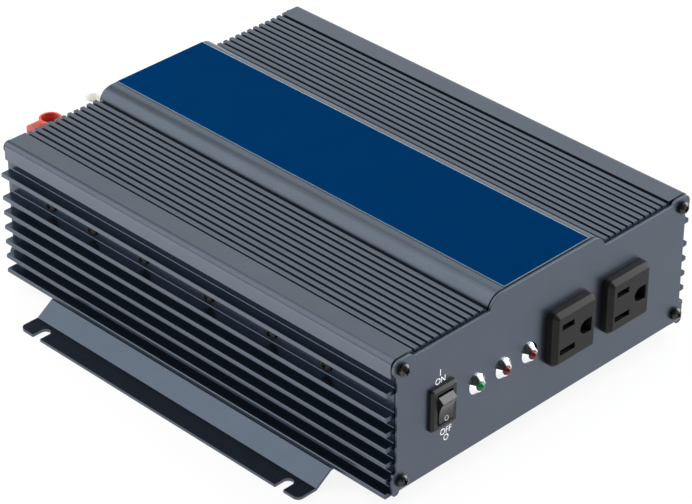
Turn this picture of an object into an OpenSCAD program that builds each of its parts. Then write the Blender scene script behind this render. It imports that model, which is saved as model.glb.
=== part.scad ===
// Power inverter with a finned extruded case, a flanged base sheet and panel-mounted fittings.
// Millimetres. +X is right seen from the front, +Y points to the rear, +Z is up.
// The origin lies on the floor, midway across the overall width and depth.

/* [Case] */
// Length of the extruded case between the end panels
case_l = 249; // [200:1:400]
// Width over the side walls, without the fins
case_w = 184.8; // [180:0.2:280]
// Height from the underside of the case to the ridge tops
case_h = 70; // [68:0.5:110]
// Height of the underside of the case above the floor
foot_h = 7.6; // [6:0.1:20]
// Thickness of the side walls
wall_t = 2.6; // [1.5:0.1:4]
// Thickness of the roof under the grooves
roof_t = 2.5; // [1.5:0.1:4]
// Width of the inner rail that the base sheet is screwed to
rail_w = 10; // [9:0.5:15]
// Height of that rail
rail_h = 4.5; // [3:0.1:8]

/* [Fins] */
// Number of evenly spaced fins on each side
fin_n = 6; // [3:1:6]
// Spacing of the fins
fin_pitch = 8; // [6:0.1:8.5]
// Distance from the evenly spaced fins to the single one above them
upper_fin_gap = 12.5; // [11:0.1:14]
// Thickness of a fin
fin_t = 2.4; // [1.5:0.1:3]
// How far the fins stand out from the wall
fin_reach = 5.8; // [3:0.1:12]
// Edge radius of the fin tips
fin_r = 0.6; // [0.2:0.05:0.7]

/* [Roof] */
// Spacing of the grooves
groove_pitch = 4; // [3:0.1:8]
// Width of a groove
groove_w = 1.5; // [0.6:0.1:2]
// Depth of a groove
groove_d = 1.6; // [0.8:0.1:2.5]
// Edge radius of the ridges between the grooves
ridge_r = 0.5; // [0.2:0.05:0.6]
// Distance from the foot of the raised middle to the middle of the first groove
groove_start = 0.7; // [0.6:0.1:4]
// Width of the raised middle at its foot
plateau_w = 74.6; // [60:0.2:100]
// Height of the raised middle above the ridges
plateau_rise = 4.7; // [2:0.1:5.5]
// Radius of its shoulders
shoulder_r = 8; // [7.5:0.1:12]
// Least width of the plain band along each eave
band_w = 12; // [8:0.5:20]
// How far the band stands above the ridges
band_rise = 0.2; // [0:0.1:1]
// How far the eave overhangs the wall
eave_over = 3; // [1:0.1:5]
// Height of the eave
eave_h = 9.1; // [8:0.1:10]
// Radius of the upper edge of the eave
eave_r = 3; // [1:0.1:3.5]

/* [Base sheet] */
// Thickness of the base sheet
sheet_t = 1.5; // [1:0.1:2]
// How far the flanges stand out beyond the fin tips
flange_out = 19.9; // [17:0.1:30]
// Width of the flat part of a flange
flange_w = 10.9; // [10:0.1:15]
// Length of the flanges
flange_l = 184.8; // [150:0.2:195]
// Corner radius of the flanges
flange_r = 3; // [1:0.1:5]
// Width of the open mounting slots
slot_w = 5.2; // [4:0.1:7]
// Depth of the slots from the edge of the flange
slot_depth = 8; // [6:0.1:9]
// Distance between the slots along the flange
slot_pitch = 161.3; // [100:0.1:170]
// Number of air slots in the base sheet
vent_n = 9; // [3:2:13]
// Width of an air slot
vent_w = 4; // [2:0.5:6]
// Length of an air slot
vent_l = 40; // [20:1:60]
// Spacing of the air slots
vent_pitch = 10; // [8:0.5:14]
// Distance from the front panel to the air slots
vent_in = 40; // [35:1:60]
// Shank diameter of the base screws
base_screw_d = 3.5; // [3:0.1:4]

/* [End panels] */
// Thickness of the end panels
panel_t = 2; // [1:0.1:3]
// How far the sides of the front panel stand out from the walls
panel_over = 0.7; // [0.2:0.1:2]
// Height of the panel's lower edge above the underside of the case
panel_up = 2.25; // [2:0.05:4]
// How far its upper edge lies below the ridge tops
panel_low = 1.7; // [1:0.1:2.4]
// How far the rear panel's upper edge lies below the ridge tops
rear_low = 3.2; // [2:0.1:3.6]
// How far the middle of the rear panel lies below the raised middle of the roof
rear_drop = 1.9; // [0:0.1:2.2]
// How far the upper ears stand out from the eaves
ear_over = 0.2; // [0:0.1:1]
// Corner radius of the upper ears
ear_r = 4; // [2:0.1:4.5]
// Width of the toes at the lower corners
toe_w = 4.2; // [3.6:0.1:6]
// How far the toes reach below the panel's lower edge
toe_drop = 1.75; // [0.5:0.05:2]
// Height of the toes
toe_h = 11.9; // [8:0.1:16]
// Distance of the screws inside the outer face of the wall
screw_in = 2.2; // [2:0.1:3]
// Height of the lower screws above the underside of the case
screw_up = 7.4; // [7:0.1:10]
// Distance of the upper screws below the ridge tops
screw_down = 5.3; // [4:0.1:6]
// Outer radius of the screw channels
channel_r = 3.8; // [3.4:0.1:4.4]
// Shank diameter of the panel screws
panel_screw_d = 3; // [2.5:0.1:3.5]
// Head diameter of the panel screws
panel_head_d = 6.2; // [5:0.1:8]
// Head height of the panel screws
panel_head_h = 3.1; // [1.5:0.1:3.5]
// Length of the panel screws below the head
panel_screw_l = 14; // [8:1:25]

/* [Label plate] */
// Width of the label plate
label_w = 55.2; // [30:0.2:57]
// Offset of the label plate to the right
label_off = 1.4; // [0:0.1:2]
// Thickness of the label plate
label_t = 0.3; // [0.1:0.05:1]
// Margin at each end of the case
label_end = 0.6; // [0.2:0.1:20]

/* [Switch] */
// Place of the switch across the panel
switch_x = -66.3; // [-70:0.1:-60]
// Height of the switch above the underside of the case
switch_up = 34.8; // [25:0.1:45]
// Width of the bezel
bezel_w = 15.8; // [14:0.1:18]
// Height of the bezel
bezel_h = 21.6; // [21:0.1:26]
// How far the bezel stands out
bezel_out = 2.6; // [1:0.1:2.6]
// Corner radius of the bezel
bezel_r = 1.5; // [1.3:0.1:2.5]
// Bevel of the bezel
bezel_bevel = 1.2; // [0.4:0.1:1.2]
// Width of the opening for the rocker
rocker_hole_w = 9.3; // [8:0.1:10]
// Height of the opening for the rocker
rocker_hole_h = 16.1; // [15.9:0.1:17]
// Side wall of the switch housing
switch_wall = 1.8; // [1.4:0.1:2.4]
// Depth of the switch housing behind the panel face
switch_depth = 13; // [10:0.5:18]
// Gap on each side of the rocker
rocker_gap = 0.3; // [0.2:0.05:0.5]
// Depth of the pivot behind the panel face
pivot_in = 1.2; // [0.8:0.1:2]
// Radius of the pivot pins
pivot_r = 1.2; // [0.8:0.1:1.5]
// Running clearance round the pivot pins
pivot_fit = 0.05; // [0.02:0.01:0.1]
// Tilt of the rocker from level in each position, in degrees
rocker_tilt = 11; // [6:0.5:12]

/* [Lamps] */
// Place of the left lamp across the panel
lamp_x = -44.4; // [-48:0.1:-40]
// Spacing of the lamps
lamp_pitch = 16.7; // [12:0.1:17.5]
// Height of the lamps above the underside of the case
lamp_up = 34.7; // [25:0.1:45]
// Radius of the bezel rim
lamp_rim_r = 5; // [4.8:0.1:6]
// Radius of the lamp
lamp_r = 2.2; // [1.5:0.1:2.6]
// How far the cone of the bezel stands out
lamp_cone = 2.5; // [1:0.1:3.2]
// Radius of the tube behind the bezel
lamp_tube_r = 4; // [3.4:0.1:4.4]
// Length of the tube behind the panel face
lamp_tube_l = 9; // [6:0.5:14]

/* [Outlets] */
// Place of the left outlet across the panel
outlet_x = 13.95; // [13:0.05:16]
// Distance between the outlets
outlet_pitch = 36.65; // [32:0.05:42]
// Height of the outlets above the underside of the case
outlet_up = 36.1; // [25:0.1:45]
// Width and height of an outlet block
outlet_w = 28; // [27:0.1:30]
// Corner radius of the block
outlet_r = 3; // [2.5:0.1:4]
// How far the face of the block stands out
outlet_out = 5.7; // [5.6:0.1:8]
// Bevel of the block
outlet_bevel = 2.2; // [1:0.1:2.4]
// Width of the body behind the panel
outlet_body_w = 24.6; // [24:0.1:26]
// Depth of the body behind the panel face
outlet_depth = 24; // [20:0.5:32]
// Distance between the two blade slots
blade_pitch = 12.7; // [12.7:0.1:12.7]
// Distance from the blade slots to the ground hole
ground_pitch = 11.9; // [11.9:0.1:11.9]
// Distance of the blade slots left of the block's middle
blade_left = 5.6; // [5:0.1:6]
// Height of a blade slot
blade_w = 3; // [2:0.1:3.4]
// Length of the upper blade slot
hot_l = 7.8; // [6.4:0.1:8.4]
// Length of the lower blade slot
neutral_l = 9.8; // [7.5:0.1:10]
// Radius of the ground hole
ground_r = 3.7; // [3.3:0.1:3.9]
// Thickness of the contact strips
contact_t = 0.6; // [0.3:0.1:0.8]
// Depth of the slots behind the face before the contacts start
contact_in = 8; // [6:0.5:12]

/* [DC terminals] */
// Place of the red terminal across the rear panel
term_x = -55.3; // [-60:0.1:-50]
// Distance between the terminals
term_pitch = 27.3; // [22:0.1:32]
// Height of the cable holes above the underside of the case
term_up = 43.9; // [35:0.1:46]
// Width of a terminal block
term_w = 19; // [17:0.1:21]
// How far a terminal block stands out from the rear panel
term_d = 21; // [21:0.5:30]
// Height of the block above the cable hole's axis
term_top = 12.5; // [9:0.1:14]
// Depth of the block below the cable hole's axis
term_low = 9.5; // [8.5:0.1:14]
// Corner radius of the block
term_r = 2; // [0.5:0.1:4]
// Radius of the cable hole
cable_r = 4.25; // [3.5:0.05:4.5]
// Outer radius of the metal sleeve
sleeve_r = 6.5; // [6:0.1:7]
// How far the sleeve reaches into the case
sleeve_in = 15; // [12:0.5:20]
// Wall of the block behind the end of the sleeve
sleeve_end = 1.5; // [0.5:0.1:3]
// Outer radius of the cup above the clamp screw
cup_r = 5.55; // [5:0.05:7]
// Wall of the cup
cup_t = 1; // [0.6:0.1:1.4]
// Height of the cup above the block
cup_h = 4.4; // [2:0.1:8]
// Distance of the cup from the rear panel
cup_y = 13; // [11:0.1:14]
// Radius of the clamp screw
clamp_r = 3; // [2:0.1:3.2]
// Length of the clamp screw
clamp_l = 6.2; // [5:0.1:8]
// Width across the flats of its socket
clamp_hex = 3; // [2:0.1:3.5]
// Running clearance round the clamp screw
clamp_fit = 0.05; // [0.02:0.01:0.1]
// Radius of the ground stud
stud_r = 2.5; // [2:0.1:3]
// Place of the ground stud across the rear panel
stud_x = -3; // [-6:0.5:4]
// Height of the ground stud above the underside of the case
stud_up = 17; // [14:0.5:40]
// How far the ground stud stands out from the rear panel
stud_l = 14; // [10:0.5:20]

/* [Fan] */
// Width and height of the fan frame
fan_w = 60; // [50:1:60]
// Depth of the fan frame
fan_d = 25; // [20:1:30]
// Place of the fan across the rear panel
fan_x = 45; // [42:0.5:50]
// Distance between the fan screws
fan_hole_pitch = 50; // [40:0.5:52]
// Thickness of the ring wall of the frame
fan_wall = 1.4; // [1:0.1:3]
// Thickness of the end flanges of the frame
fan_flange = 4; // [3:0.5:6]
// Gap round the blade tips
blade_gap = 1; // [0.5:0.1:2]
// Radius of the rotor hub
hub_r = 12.5; // [11:0.5:15]
// Wall of the rotor hub
hub_t = 1.5; // [1:0.1:2]
// Number of blades
blade_n = 7; // [5:1:9]
// Thickness of a blade
blade_t = 1.2; // [0.8:0.1:2]
// Chord of a blade
blade_chord = 15; // [10:0.5:17]
// Pitch of a blade, in degrees
blade_angle = 40; // [25:1:55]
// Radius of the fan shaft
shaft_r = 1.5; // [1:0.1:2]
// Running clearance round the fan shaft
shaft_fit = 0.05; // [0.02:0.01:0.1]
// Wire radius of the fan guard
wire_r = 0.8; // [0.5:0.1:1.2]
// Number of rings in the fan guard
guard_n = 4; // [2:1:6]
// Spacing of those rings
guard_pitch = 6.5; // [4:0.5:8]
// Shank diameter of the fan screws
fan_screw_d = 3.5; // [3:0.1:4]

/* [Inside] */
// Shank diameter of the side screws
side_screw_d = 3.5; // [3:0.1:4]
// Head diameter of the side screws
side_head_d = 6.4; // [5:0.1:7]
// Head height of the side screws
side_head_h = 2.2; // [1:0.1:3]
// Distance of the first side screw from the front panel
side_y1 = 40.5; // [36:0.1:50]
// Distance of the second side screw from the front panel
side_y2 = 74.3; // [68:0.1:86]
// Distance of the third side screw from the front panel
side_y3 = 114.2; // [104:0.1:124]
// Distance of the fourth side screw from the front panel
side_y4 = 157; // [142:0.1:162]
// Distance of the fifth side screw from the front panel
side_y5 = 191.7; // [180:0.1:196]
// Distance of the sixth side screw from the front panel
side_y6 = 220.4; // [214:0.1:230]
// Thickness of a thermal pad
pad_t = 0.4; // [0.2:0.1:1]
// Width of a transistor
transistor_w = 15.9; // [10:0.1:20]
// Height of a transistor
transistor_h = 21; // [15:0.1:24]
// Thickness of a transistor
transistor_t = 5; // [3:0.1:6]
// Thickness of the circuit board
board_t = 1.6; // [1:0.1:3]
// Height of the standoffs under the circuit board
standoff_h = 9; // [8:0.1:14]
// Gap between the circuit board and the side walls
board_gap = 1.5; // [0.5:0.1:3]
// Distance of the circuit board from the front panel
board_in = 12; // [4:1:25]
// Gap between the circuit board and the fan
board_fan_gap = 6; // [5:0.5:10]
// Shank diameter of the board screws
board_screw_d = 3; // [2:0.1:3.5]
// Place of the transformers across the board
transformer_x = -40; // [-45:1:-30]
// Distance of the first transformer from the front edge of the board
transformer_y = 72; // [60:1:80]
// Distance between the transformers
transformer_pitch = 52; // [46:1:56]
// Width of a transformer core
core_w = 42; // [36:0.5:46]
// Depth of a transformer core
core_d = 20; // [14:0.5:24]
// Height of a transformer core
core_h = 38; // [30:0.5:42]
// Width of the middle leg of a core
leg_w = 14; // [10:0.5:16]
// Width of a window beside that leg
window_w = 9; // [6:0.5:9]
// Thickness of a core above and below its windows
yoke_h = 6.3; // [4:0.1:8]
// Place of the bus capacitors across the board
bus_cap_x = 12; // [8:1:14]
// Distance of the first bus capacitor from the front edge of the board
bus_cap_y = 60; // [45:1:75]
// Gap between the bus capacitors
bus_cap_gap = 4; // [1:0.5:10]
// Radius of a bus capacitor
bus_cap_r = 11; // [8:0.5:12]
// Height of a bus capacitor
bus_cap_h = 40; // [25:1:45]
// Place of the first input capacitor across the board
in_cap_x = -64; // [-65:1:-62]
// Gap between the input capacitors
in_cap_gap = 3; // [1:0.5:4]
// Radius of an input capacitor
in_cap_r = 6.5; // [4:0.1:7]
// Height of an input capacitor
in_cap_h = 26; // [15:1:40]
// Place of the choke across the board
choke_x = 56; // [50:1:58]
// Distance of the choke from the front edge of the board
choke_y = 66; // [50:1:80]
// Outer radius of the choke core
choke_r = 20; // [16:0.5:22]
// Width of the ring of the choke core
choke_ring = 9; // [5:0.5:10]
// Height of the choke core
choke_h = 12; // [8:0.5:20]
// Wire thickness of the choke winding
choke_wire = 2; // [1:0.1:3]
// Place of the control card across the board
card_x = 58; // [40:1:70]
// Distance of the control card from the front edge of the board
card_y = 112; // [104:1:120]
// Length of the control card
card_l = 60; // [30:1:75]
// Height of the control card
card_h = 28; // [15:1:40]
// Place of the fuses across the board
fuse_x = -12; // [-16:1:-8]
// Width of a fuse
fuse_w = 19; // [15:0.5:20]
// Thickness of a fuse
fuse_t = 5; // [4:0.5:7]
// Height of a fuse
fuse_h = 16; // [12:0.5:20]
// Spacing of the fuses
fuse_pitch = 9; // [8:0.5:12]
// Thickness of the busbars
bar_t = 2; // [1:0.1:3]
// Length of the foot of a busbar
bar_foot = 18; // [10:0.5:22]

/* [Hidden] */
$fn = 64;

// Clearance between a screw shank and its hole
screw_fit = 0.1;
// Clearance between a fitting and its cut-out
cut_fit = 0.1;
// Extra length that makes a cut pass clean through
over = 1;

// Case outline
wall_x = case_w / 2;
wall_in = wall_x - wall_t;
ridge_z = foot_h + case_h;
groove_z = ridge_z - groove_d;
roof_z = groove_z - roof_t;
ridge_w = groove_pitch - groove_w;
plateau_z = ridge_z + plateau_rise;
shoulder_x = plateau_w / 2 - shoulder_r;
shoulder_z = plateau_z - shoulder_r;
eave_x = wall_x + eave_over;
band_z = ridge_z + band_rise;
eave_z = band_z - eave_h;
groove_x = plateau_w / 2 + groove_start;
groove_n = floor((eave_x - band_w - groove_x) / groove_pitch) + 1;
band_x = groove_x + (groove_n - 1) * groove_pitch + groove_w / 2;
tip_x = wall_x + fin_reach;
fin_z = foot_h + fin_t / 2;
top_fin_z = fin_z + (fin_n - 1) * fin_pitch;
upper_fin_z = top_fin_z + upper_fin_gap;
side_screw_z = (top_fin_z + upper_fin_z) / 2;
side_screw_y = [side_y1, side_y2, side_y3, side_y4, side_y5, side_y6];
screw_x = wall_x - screw_in;
screw_z = [foot_h + screw_up, ridge_z - screw_down];

// Lengthwise places, measured from the front face of the front panel
case_y = panel_t;
rear_in_y = panel_t + case_l;
rear_y = rear_in_y + panel_t;
mid_case_y = (case_y + rear_in_y) / 2;
mid_y = (rear_y + term_d - outlet_out) / 2;

// Panel outline
panel_x = wall_x + panel_over;
panel_z = foot_h + panel_up;
panel_top_z = ridge_z - panel_low;
ear_x = eave_x + ear_over;

// Base sheet
web_z = panel_z + sheet_t;
rail_x = wall_in - rail_w;
base_head_r = 3;
base_head_h = 1.9;
base_screw_end = 14;
base_screw_x = rail_x + base_screw_d * 0.75;
base_screw_y = [case_y + base_screw_end, rear_in_y - base_screw_end];
jog_in = 4.6;
jog_x = wall_in - jog_in;
jog_end_x = jog_x + panel_up + sheet_t;
flange_x = tip_x + flange_out;
bend_x = flange_x - flange_w;
slot_x = flange_x - slot_depth + slot_w / 2;
web_side_gap = 0.2;

// Fittings on the front panel
switch_z = foot_h + switch_up;
lamp_z = foot_h + lamp_up;
outlet_z = foot_h + outlet_up;
switch_body_w = rocker_hole_w + 2 * switch_wall;
switch_body_h = rocker_hole_h + 2 * switch_wall;

// Terminals
term_z = foot_h + term_up;
cup_axis_y = rear_y + cup_y;
sleeve_y = rear_in_y - sleeve_in;
sleeve_end_y = rear_y + term_d - sleeve_end;
clamp_lift = 0.25;
clamp_room = 0.3;
clamp_z = term_z + cable_r + clamp_lift;
neck_t = 1.5;
neck_r = sleeve_r + neck_t;
nut_t = 4;
term_nut_rim = 4;
stud_z = foot_h + stud_up;
stud_step = 0.5;
stud_shank_r = stud_r + stud_step;
stud_nut_w = 3.2 * stud_shank_r;
stud_free = nut_t + 0.5;

// Fan
fan_lift = 0.1;
fan_nut_w = 6;
fan_lug = 1;
fan_corner = 4;
fan_side = max(fan_w, fan_hole_pitch + fan_screw_d + 2 * fan_lug);
fan_half = max(fan_side, fan_hole_pitch + fan_nut_w) / 2;
fan_z = web_z + fan_lift + fan_half;
fan_head_h = 2.4;
fan_y = rear_in_y - fan_d;
fan_inset = 0.6;
fan_bore_r = fan_w / 2 - fan_wall - fan_inset;
fan_plate = 2.5;
bearing_r = 3.5;
motor_gap = 0.5;
hub_gap = 1;
hub_back = 5;
hub_y = fan_y + fan_plate + hub_gap;
hub_l = fan_d - fan_plate - hub_gap - hub_back;

// Board and what stands on it
board_z = web_z + standoff_h;
board_top = board_z + board_t;
board_x = wall_in - board_gap;
board_y = case_y + board_in;
board_end_y = rear_in_y - board_in;
fan_notch_y = fan_y - board_fan_gap;
standoff_r = 3.5;
standoff_gap = 0.5;
standoff_end = 8;
standoff_x = rail_x - standoff_r - standoff_gap;
standoff_y = [board_y + standoff_end, (board_y + fan_notch_y) / 2, fan_notch_y - standoff_end];
bar_y = sleeve_y - bar_foot;
wrap_gap = 0.2;
transistor_nut_w = 6;
transistor_above = 6;

// Rectangle between two corners
module rect(a, b) {
    translate(a) square(b - a);
}

// Rectangle round the origin with round corners
module round_rect(w, h, r) {
    square([w - 2 * r, h], center = true);
    square([w, h - 2 * r], center = true);
    for (sx = [-1, 1], sy = [-1, 1])
        translate([sx * (w / 2 - r), sy * (h / 2 - r)]) circle(r);
}

// Both mirror images of a shape, left and right
module both() {
    children();
    mirror([1, 0, 0]) children();
}

// Extrudes an X-Z outline from y0 to y1
module along_y(y0, y1) {
    translate([0, y1, 0]) rotate([90, 0, 0]) linear_extrude(y1 - y0) children();
}

// Extrudes a Y-Z outline from x0 to x1
module along_x(x0, x1) {
    translate([x0, 0, 0]) rotate([90, 0, 90]) linear_extrude(x1 - x0) children();
}

// Extrudes an X-Y outline from z0 to z1
module along_z(z0, z1) {
    translate([0, 0, z0]) linear_extrude(z1 - z0) children();
}

// Turns a shape that stands on Z to the front, with its foot at p
module to_front(p) {
    translate(p) rotate([90, 0, 0]) children();
}

// Turns a shape that stands on Z to the rear, with its foot at p
module to_rear(p) {
    translate(p) rotate([-90, 0, 0]) children();
}

// Pan-head screw on Z: the head stands on z = 0 and the shank hangs below
module pan_screw(head_r, head_h, shank_r, shank_l) {
    rise = head_h / 2;
    dome_r = (head_r * head_r + rise * rise) / (2 * rise);
    rotate_extrude() {
        intersection() {
            translate([0, head_h - dome_r]) circle(dome_r);
            square([head_r, head_h]);
        }
        translate([0, -shank_l]) square([shank_r, shank_l + rise]);
    }
}

// Hexagonal nut on Z with a round hole
module hex_nut(flats, t, hole_r) {
    difference() {
        cylinder(r = flats / sqrt(3), h = t, $fn = 6);
        translate([0, 0, -over]) cylinder(r = hole_r, h = t + 2 * over);
    }
}

// Block on the panel face with round corners and bevelled front edges
module bevel_block(w, h, r, out, bevel) {
    along_x(r - w / 2, w / 2 - r)
        polygon([[0, -h / 2], [0, h / 2], [bevel - out, h / 2], [-out, h / 2 - bevel],
                 [-out, bevel - h / 2], [bevel - out, -h / 2]]);
    along_z(r - h / 2, h / 2 - r)
        polygon([[-w / 2, 0], [w / 2, 0], [w / 2, bevel - out], [w / 2 - bevel, -out],
                 [bevel - w / 2, -out], [-w / 2, bevel - out]]);
    for (i = [-1, 1], j = [-1, 1])
        to_front([i * (w / 2 - r), 0, j * (h / 2 - r)]) {
            cylinder(r = r, h = out - bevel);
            translate([0, 0, out - bevel]) cylinder(r1 = r, r2 = r - bevel, h = bevel);
        }
}

// One fin in section, from inside the wall to its rounded tip
module fin_section(z) {
    rect([wall_in + wall_t / 2, z - fin_t / 2], [tip_x - fin_r, z + fin_t / 2]);
    rect([wall_x, z - fin_t / 2 + fin_r], [tip_x, z + fin_t / 2 - fin_r]);
    for (s = [-1, 1])
        translate([tip_x - fin_r, z + s * (fin_t / 2 - fin_r)]) circle(fin_r);
}

// Right half of the case in section
module case_half() {
    difference() {
        union() {
            rect([-over, roof_z], [wall_x, groove_z]);
            for (i = [1 : groove_n - 1])
                translate([groove_x + (i - 0.5) * groove_pitch, groove_z])
                    round_rect(ridge_w, 2 * groove_d, ridge_r);
            rect([band_x, roof_z], [eave_x - eave_r, band_z]);
            rect([wall_in, eave_z], [eave_x, band_z - eave_r]);
            translate([eave_x - eave_r, band_z - eave_r]) circle(eave_r);
            rect([-over, roof_z], [shoulder_x, plateau_z]);
            intersection() {
                translate([shoulder_x, shoulder_z]) circle(shoulder_r);
                rect([0, roof_z], [plateau_w, plateau_z]);
            }
            rect([wall_in, foot_h], [wall_x, ridge_z]);
            rect([rail_x, web_z], [wall_x, web_z + rail_h]);
            intersection() {
                for (z = screw_z)
                    translate([screw_x, z]) circle(channel_r);
                rect([0, web_z], [wall_x, ridge_z]);
            }
            for (i = [0 : fin_n - 1])
                fin_section(fin_z + i * fin_pitch);
            fin_section(upper_fin_z);
        }
        rect([-2 * over, roof_z - over], [shoulder_x, plateau_z - roof_t]);
        translate([shoulder_x, shoulder_z]) circle(shoulder_r - roof_t);
        for (z = screw_z)
            translate([screw_x, z]) circle(panel_screw_d / 2 + screw_fit);
    }
}

module housing() {
    color([0.35, 0.38, 0.42])
    difference() {
        along_y(case_y, rear_in_y) both() case_half();
        for (y = side_screw_y)
            translate([-eave_x, case_y + y, side_screw_z]) rotate([0, 90, 0])
                cylinder(d = side_screw_d + 2 * screw_fit, h = 2 * eave_x);
        for (s = [-1, 1], y = base_screw_y)
            translate([s * base_screw_x, y, web_z - over])
                cylinder(d = base_screw_d + 2 * screw_fit, h = rail_h + 2 * over);
    }
}

// Stretch of sheet along a path in section, with round bends
module sheet_section(path) {
    for (i = [0 : len(path) - 2]) {
        step = path[i + 1] - path[i];
        translate(path[i]) rotate(atan2(step[1], step[0]))
            translate([0, -sheet_t / 2]) square([norm(step), sheet_t]);
    }
    for (i = [1 : len(path) - 2])
        translate(path[i]) circle(d = sheet_t);
}

module base_plate() {
    web_mid = web_z - sheet_t / 2;
    wing_mid = foot_h - sheet_t / 2;
    path = [[-over, web_mid], [jog_x, web_mid], [jog_end_x, wing_mid],
            [tip_x, wing_mid], [bend_x, sheet_t / 2], [flange_x, sheet_t / 2]];
    flange_y = mid_case_y - flange_l / 2;
    color([0.38, 0.42, 0.47])
    difference() {
        union() {
            intersection() {
                along_y(flange_y, flange_y + flange_l) both() sheet_section(path);
                translate([0, mid_case_y, 0])
                    along_z(-over, web_z + over) round_rect(2 * flange_x, flange_l, flange_r);
            }
            for (y = [[case_y, flange_y], [flange_y + flange_l, rear_in_y]])
                along_y(y[0], y[1])
                    rect([web_side_gap - wall_in, panel_z], [wall_in - web_side_gap, web_z]);
        }
        for (sx = [-1, 1], sy = [-1, 1])
            translate([sx * slot_x, mid_case_y + sy * slot_pitch / 2, -over]) {
                cylinder(d = slot_w, h = sheet_t + 2 * over);
                translate([sx > 0 ? 0 : -slot_depth, -slot_w / 2, 0])
                    cube([slot_depth, slot_w, sheet_t + 2 * over]);
            }
        for (i = [0 : vent_n - 1])
            translate([(i - (vent_n - 1) / 2) * vent_pitch, case_y + vent_in + vent_l / 2, 0])
                along_z(panel_z - over, web_z + over) round_rect(vent_w, vent_l, vent_w / 2 - 0.01);
        for (s = [-1, 1], y = base_screw_y)
            translate([s * base_screw_x, y, panel_z - over])
                cylinder(d = base_screw_d + 2 * screw_fit, h = sheet_t + 2 * over);
    }
}

module base_screws() {
    color([0.1, 0.1, 0.11])
    for (s = [-1, 1], y = base_screw_y)
        translate([s * base_screw_x, y, panel_z]) rotate([180, 0, 0])
            pan_screw(base_head_r, base_head_h, base_screw_d / 2, sheet_t + rail_h);
}

// Outline of the front panel, with ears at the eaves and toes at the lower corners
module front_outline() {
    ear_w = ear_x - band_x;
    rect([-panel_x, panel_z], [panel_x, panel_top_z]);
    rect([-shoulder_x, shoulder_z], [shoulder_x, plateau_z]);
    for (s = [-1, 1]) {
        translate([s * shoulder_x, shoulder_z]) circle(shoulder_r);
        translate([s * (band_x + ear_w / 2), (eave_z + ridge_z) / 2])
            round_rect(ear_w, ridge_z - eave_z, ear_r);
        translate([s * (ear_x - toe_w / 2 - ear_over), panel_z - toe_drop + toe_h / 2])
            round_rect(toe_w, toe_h, toe_w / 2 - 0.3);
    }
    for (s = [-1, 1], z = screw_z)
        translate([s * screw_x, z]) circle(channel_r);
}

// Outline of the rear panel: flush with the walls, with lugs under the screw heads
module rear_outline() {
    rect([-wall_x, panel_z], [wall_x, ridge_z - rear_low]);
    rect([-shoulder_x, shoulder_z], [shoulder_x, plateau_z - rear_drop]);
    for (s = [-1, 1])
        translate([s * shoulder_x, shoulder_z]) circle(shoulder_r - rear_drop);
    for (s = [-1, 1], z = screw_z)
        translate([s * screw_x, z]) circle(panel_head_d / 2);
}

module panel_screw_holes() {
    for (s = [-1, 1], z = screw_z)
        translate([s * screw_x, z]) circle(panel_screw_d / 2 + screw_fit);
}

module front_panel() {
    color([0.37, 0.39, 0.44])
    along_y(0, panel_t)
    difference() {
        front_outline();
        panel_screw_holes();
        translate([switch_x, switch_z])
            square([switch_body_w + 2 * cut_fit, switch_body_h + 2 * cut_fit], center = true);
        for (i = [0 : 2])
            translate([lamp_x + i * lamp_pitch, lamp_z]) circle(lamp_tube_r + cut_fit);
        for (i = [0, 1])
            translate([outlet_x + i * outlet_pitch, outlet_z])
                square(outlet_body_w + 2 * cut_fit, center = true);
    }
}

module rear_panel() {
    color([0.37, 0.39, 0.44])
    along_y(rear_in_y, rear_y)
    difference() {
        rear_outline();
        panel_screw_holes();
        for (i = [0, 1])
            translate([term_x + i * term_pitch, term_z]) circle(neck_r + cut_fit);
        translate([stud_x, stud_z]) circle(stud_shank_r + screw_fit);
        translate([fan_x, fan_z]) {
            circle(fan_bore_r);
            for (sx = [-1, 1], sz = [-1, 1])
                translate([sx, sz] * fan_hole_pitch / 2) circle(fan_screw_d / 2 + screw_fit);
        }
    }
}

module panel_screw() {
    pan_screw(panel_head_d / 2, panel_head_h, panel_screw_d / 2, panel_screw_l);
}

module front_panel_screws() {
    color([0.07, 0.07, 0.08])
    for (s = [-1, 1], z = screw_z)
        to_front([s * screw_x, 0, z]) panel_screw();
}

module rear_panel_screws() {
    color([0.07, 0.07, 0.08])
    for (s = [-1, 1], z = screw_z)
        to_rear([s * screw_x, rear_y, z]) panel_screw();
}

module label_plate() {
    l = case_l - 2 * label_end;
    color([0, 0.2, 0.4])
    translate([label_off, mid_case_y, 0])
        along_z(plateau_z, plateau_z + label_t) round_rect(label_w, l, 1);
}

// Bezel and housing of the switch in one moulding, with bearing holes for the rocker
module switch_housing() {
    cavity = switch_depth - 5;
    color([0.06, 0.06, 0.07])
    translate([switch_x, 0, switch_z])
    difference() {
        union() {
            bevel_block(bezel_w, bezel_h, bezel_r, bezel_out, bezel_bevel);
            along_y(0, switch_depth) square([switch_body_w, switch_body_h], center = true);
        }
        along_y(-bezel_out - over, cavity) square([rocker_hole_w, rocker_hole_h], center = true);
        translate([-switch_body_w, pivot_in, 0]) rotate([0, 90, 0])
            cylinder(r = pivot_r + pivot_fit, h = 2 * switch_body_w);
    }
}

// Rocker with dished face, seen from its side, level, with the pivot at the origin
module rocker_section() {
    foot = 5.5;
    back = 2.2;
    root = [7.3, 2.45];
    tip = [5.8, 5.7];
    dish = 1.1;
    dish_r = (tip[0] * tip[0] + dish * dish) / (2 * dish);
    difference() {
        polygon([[back, -foot], [back, foot], [-root[1], root[0]], [-tip[1], tip[0]],
                 [-tip[1], -tip[0]], [-root[1], -root[0]]]);
        translate([dish - tip[1] - dish_r, 0]) circle(dish_r, $fn = 96);
    }
}

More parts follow.
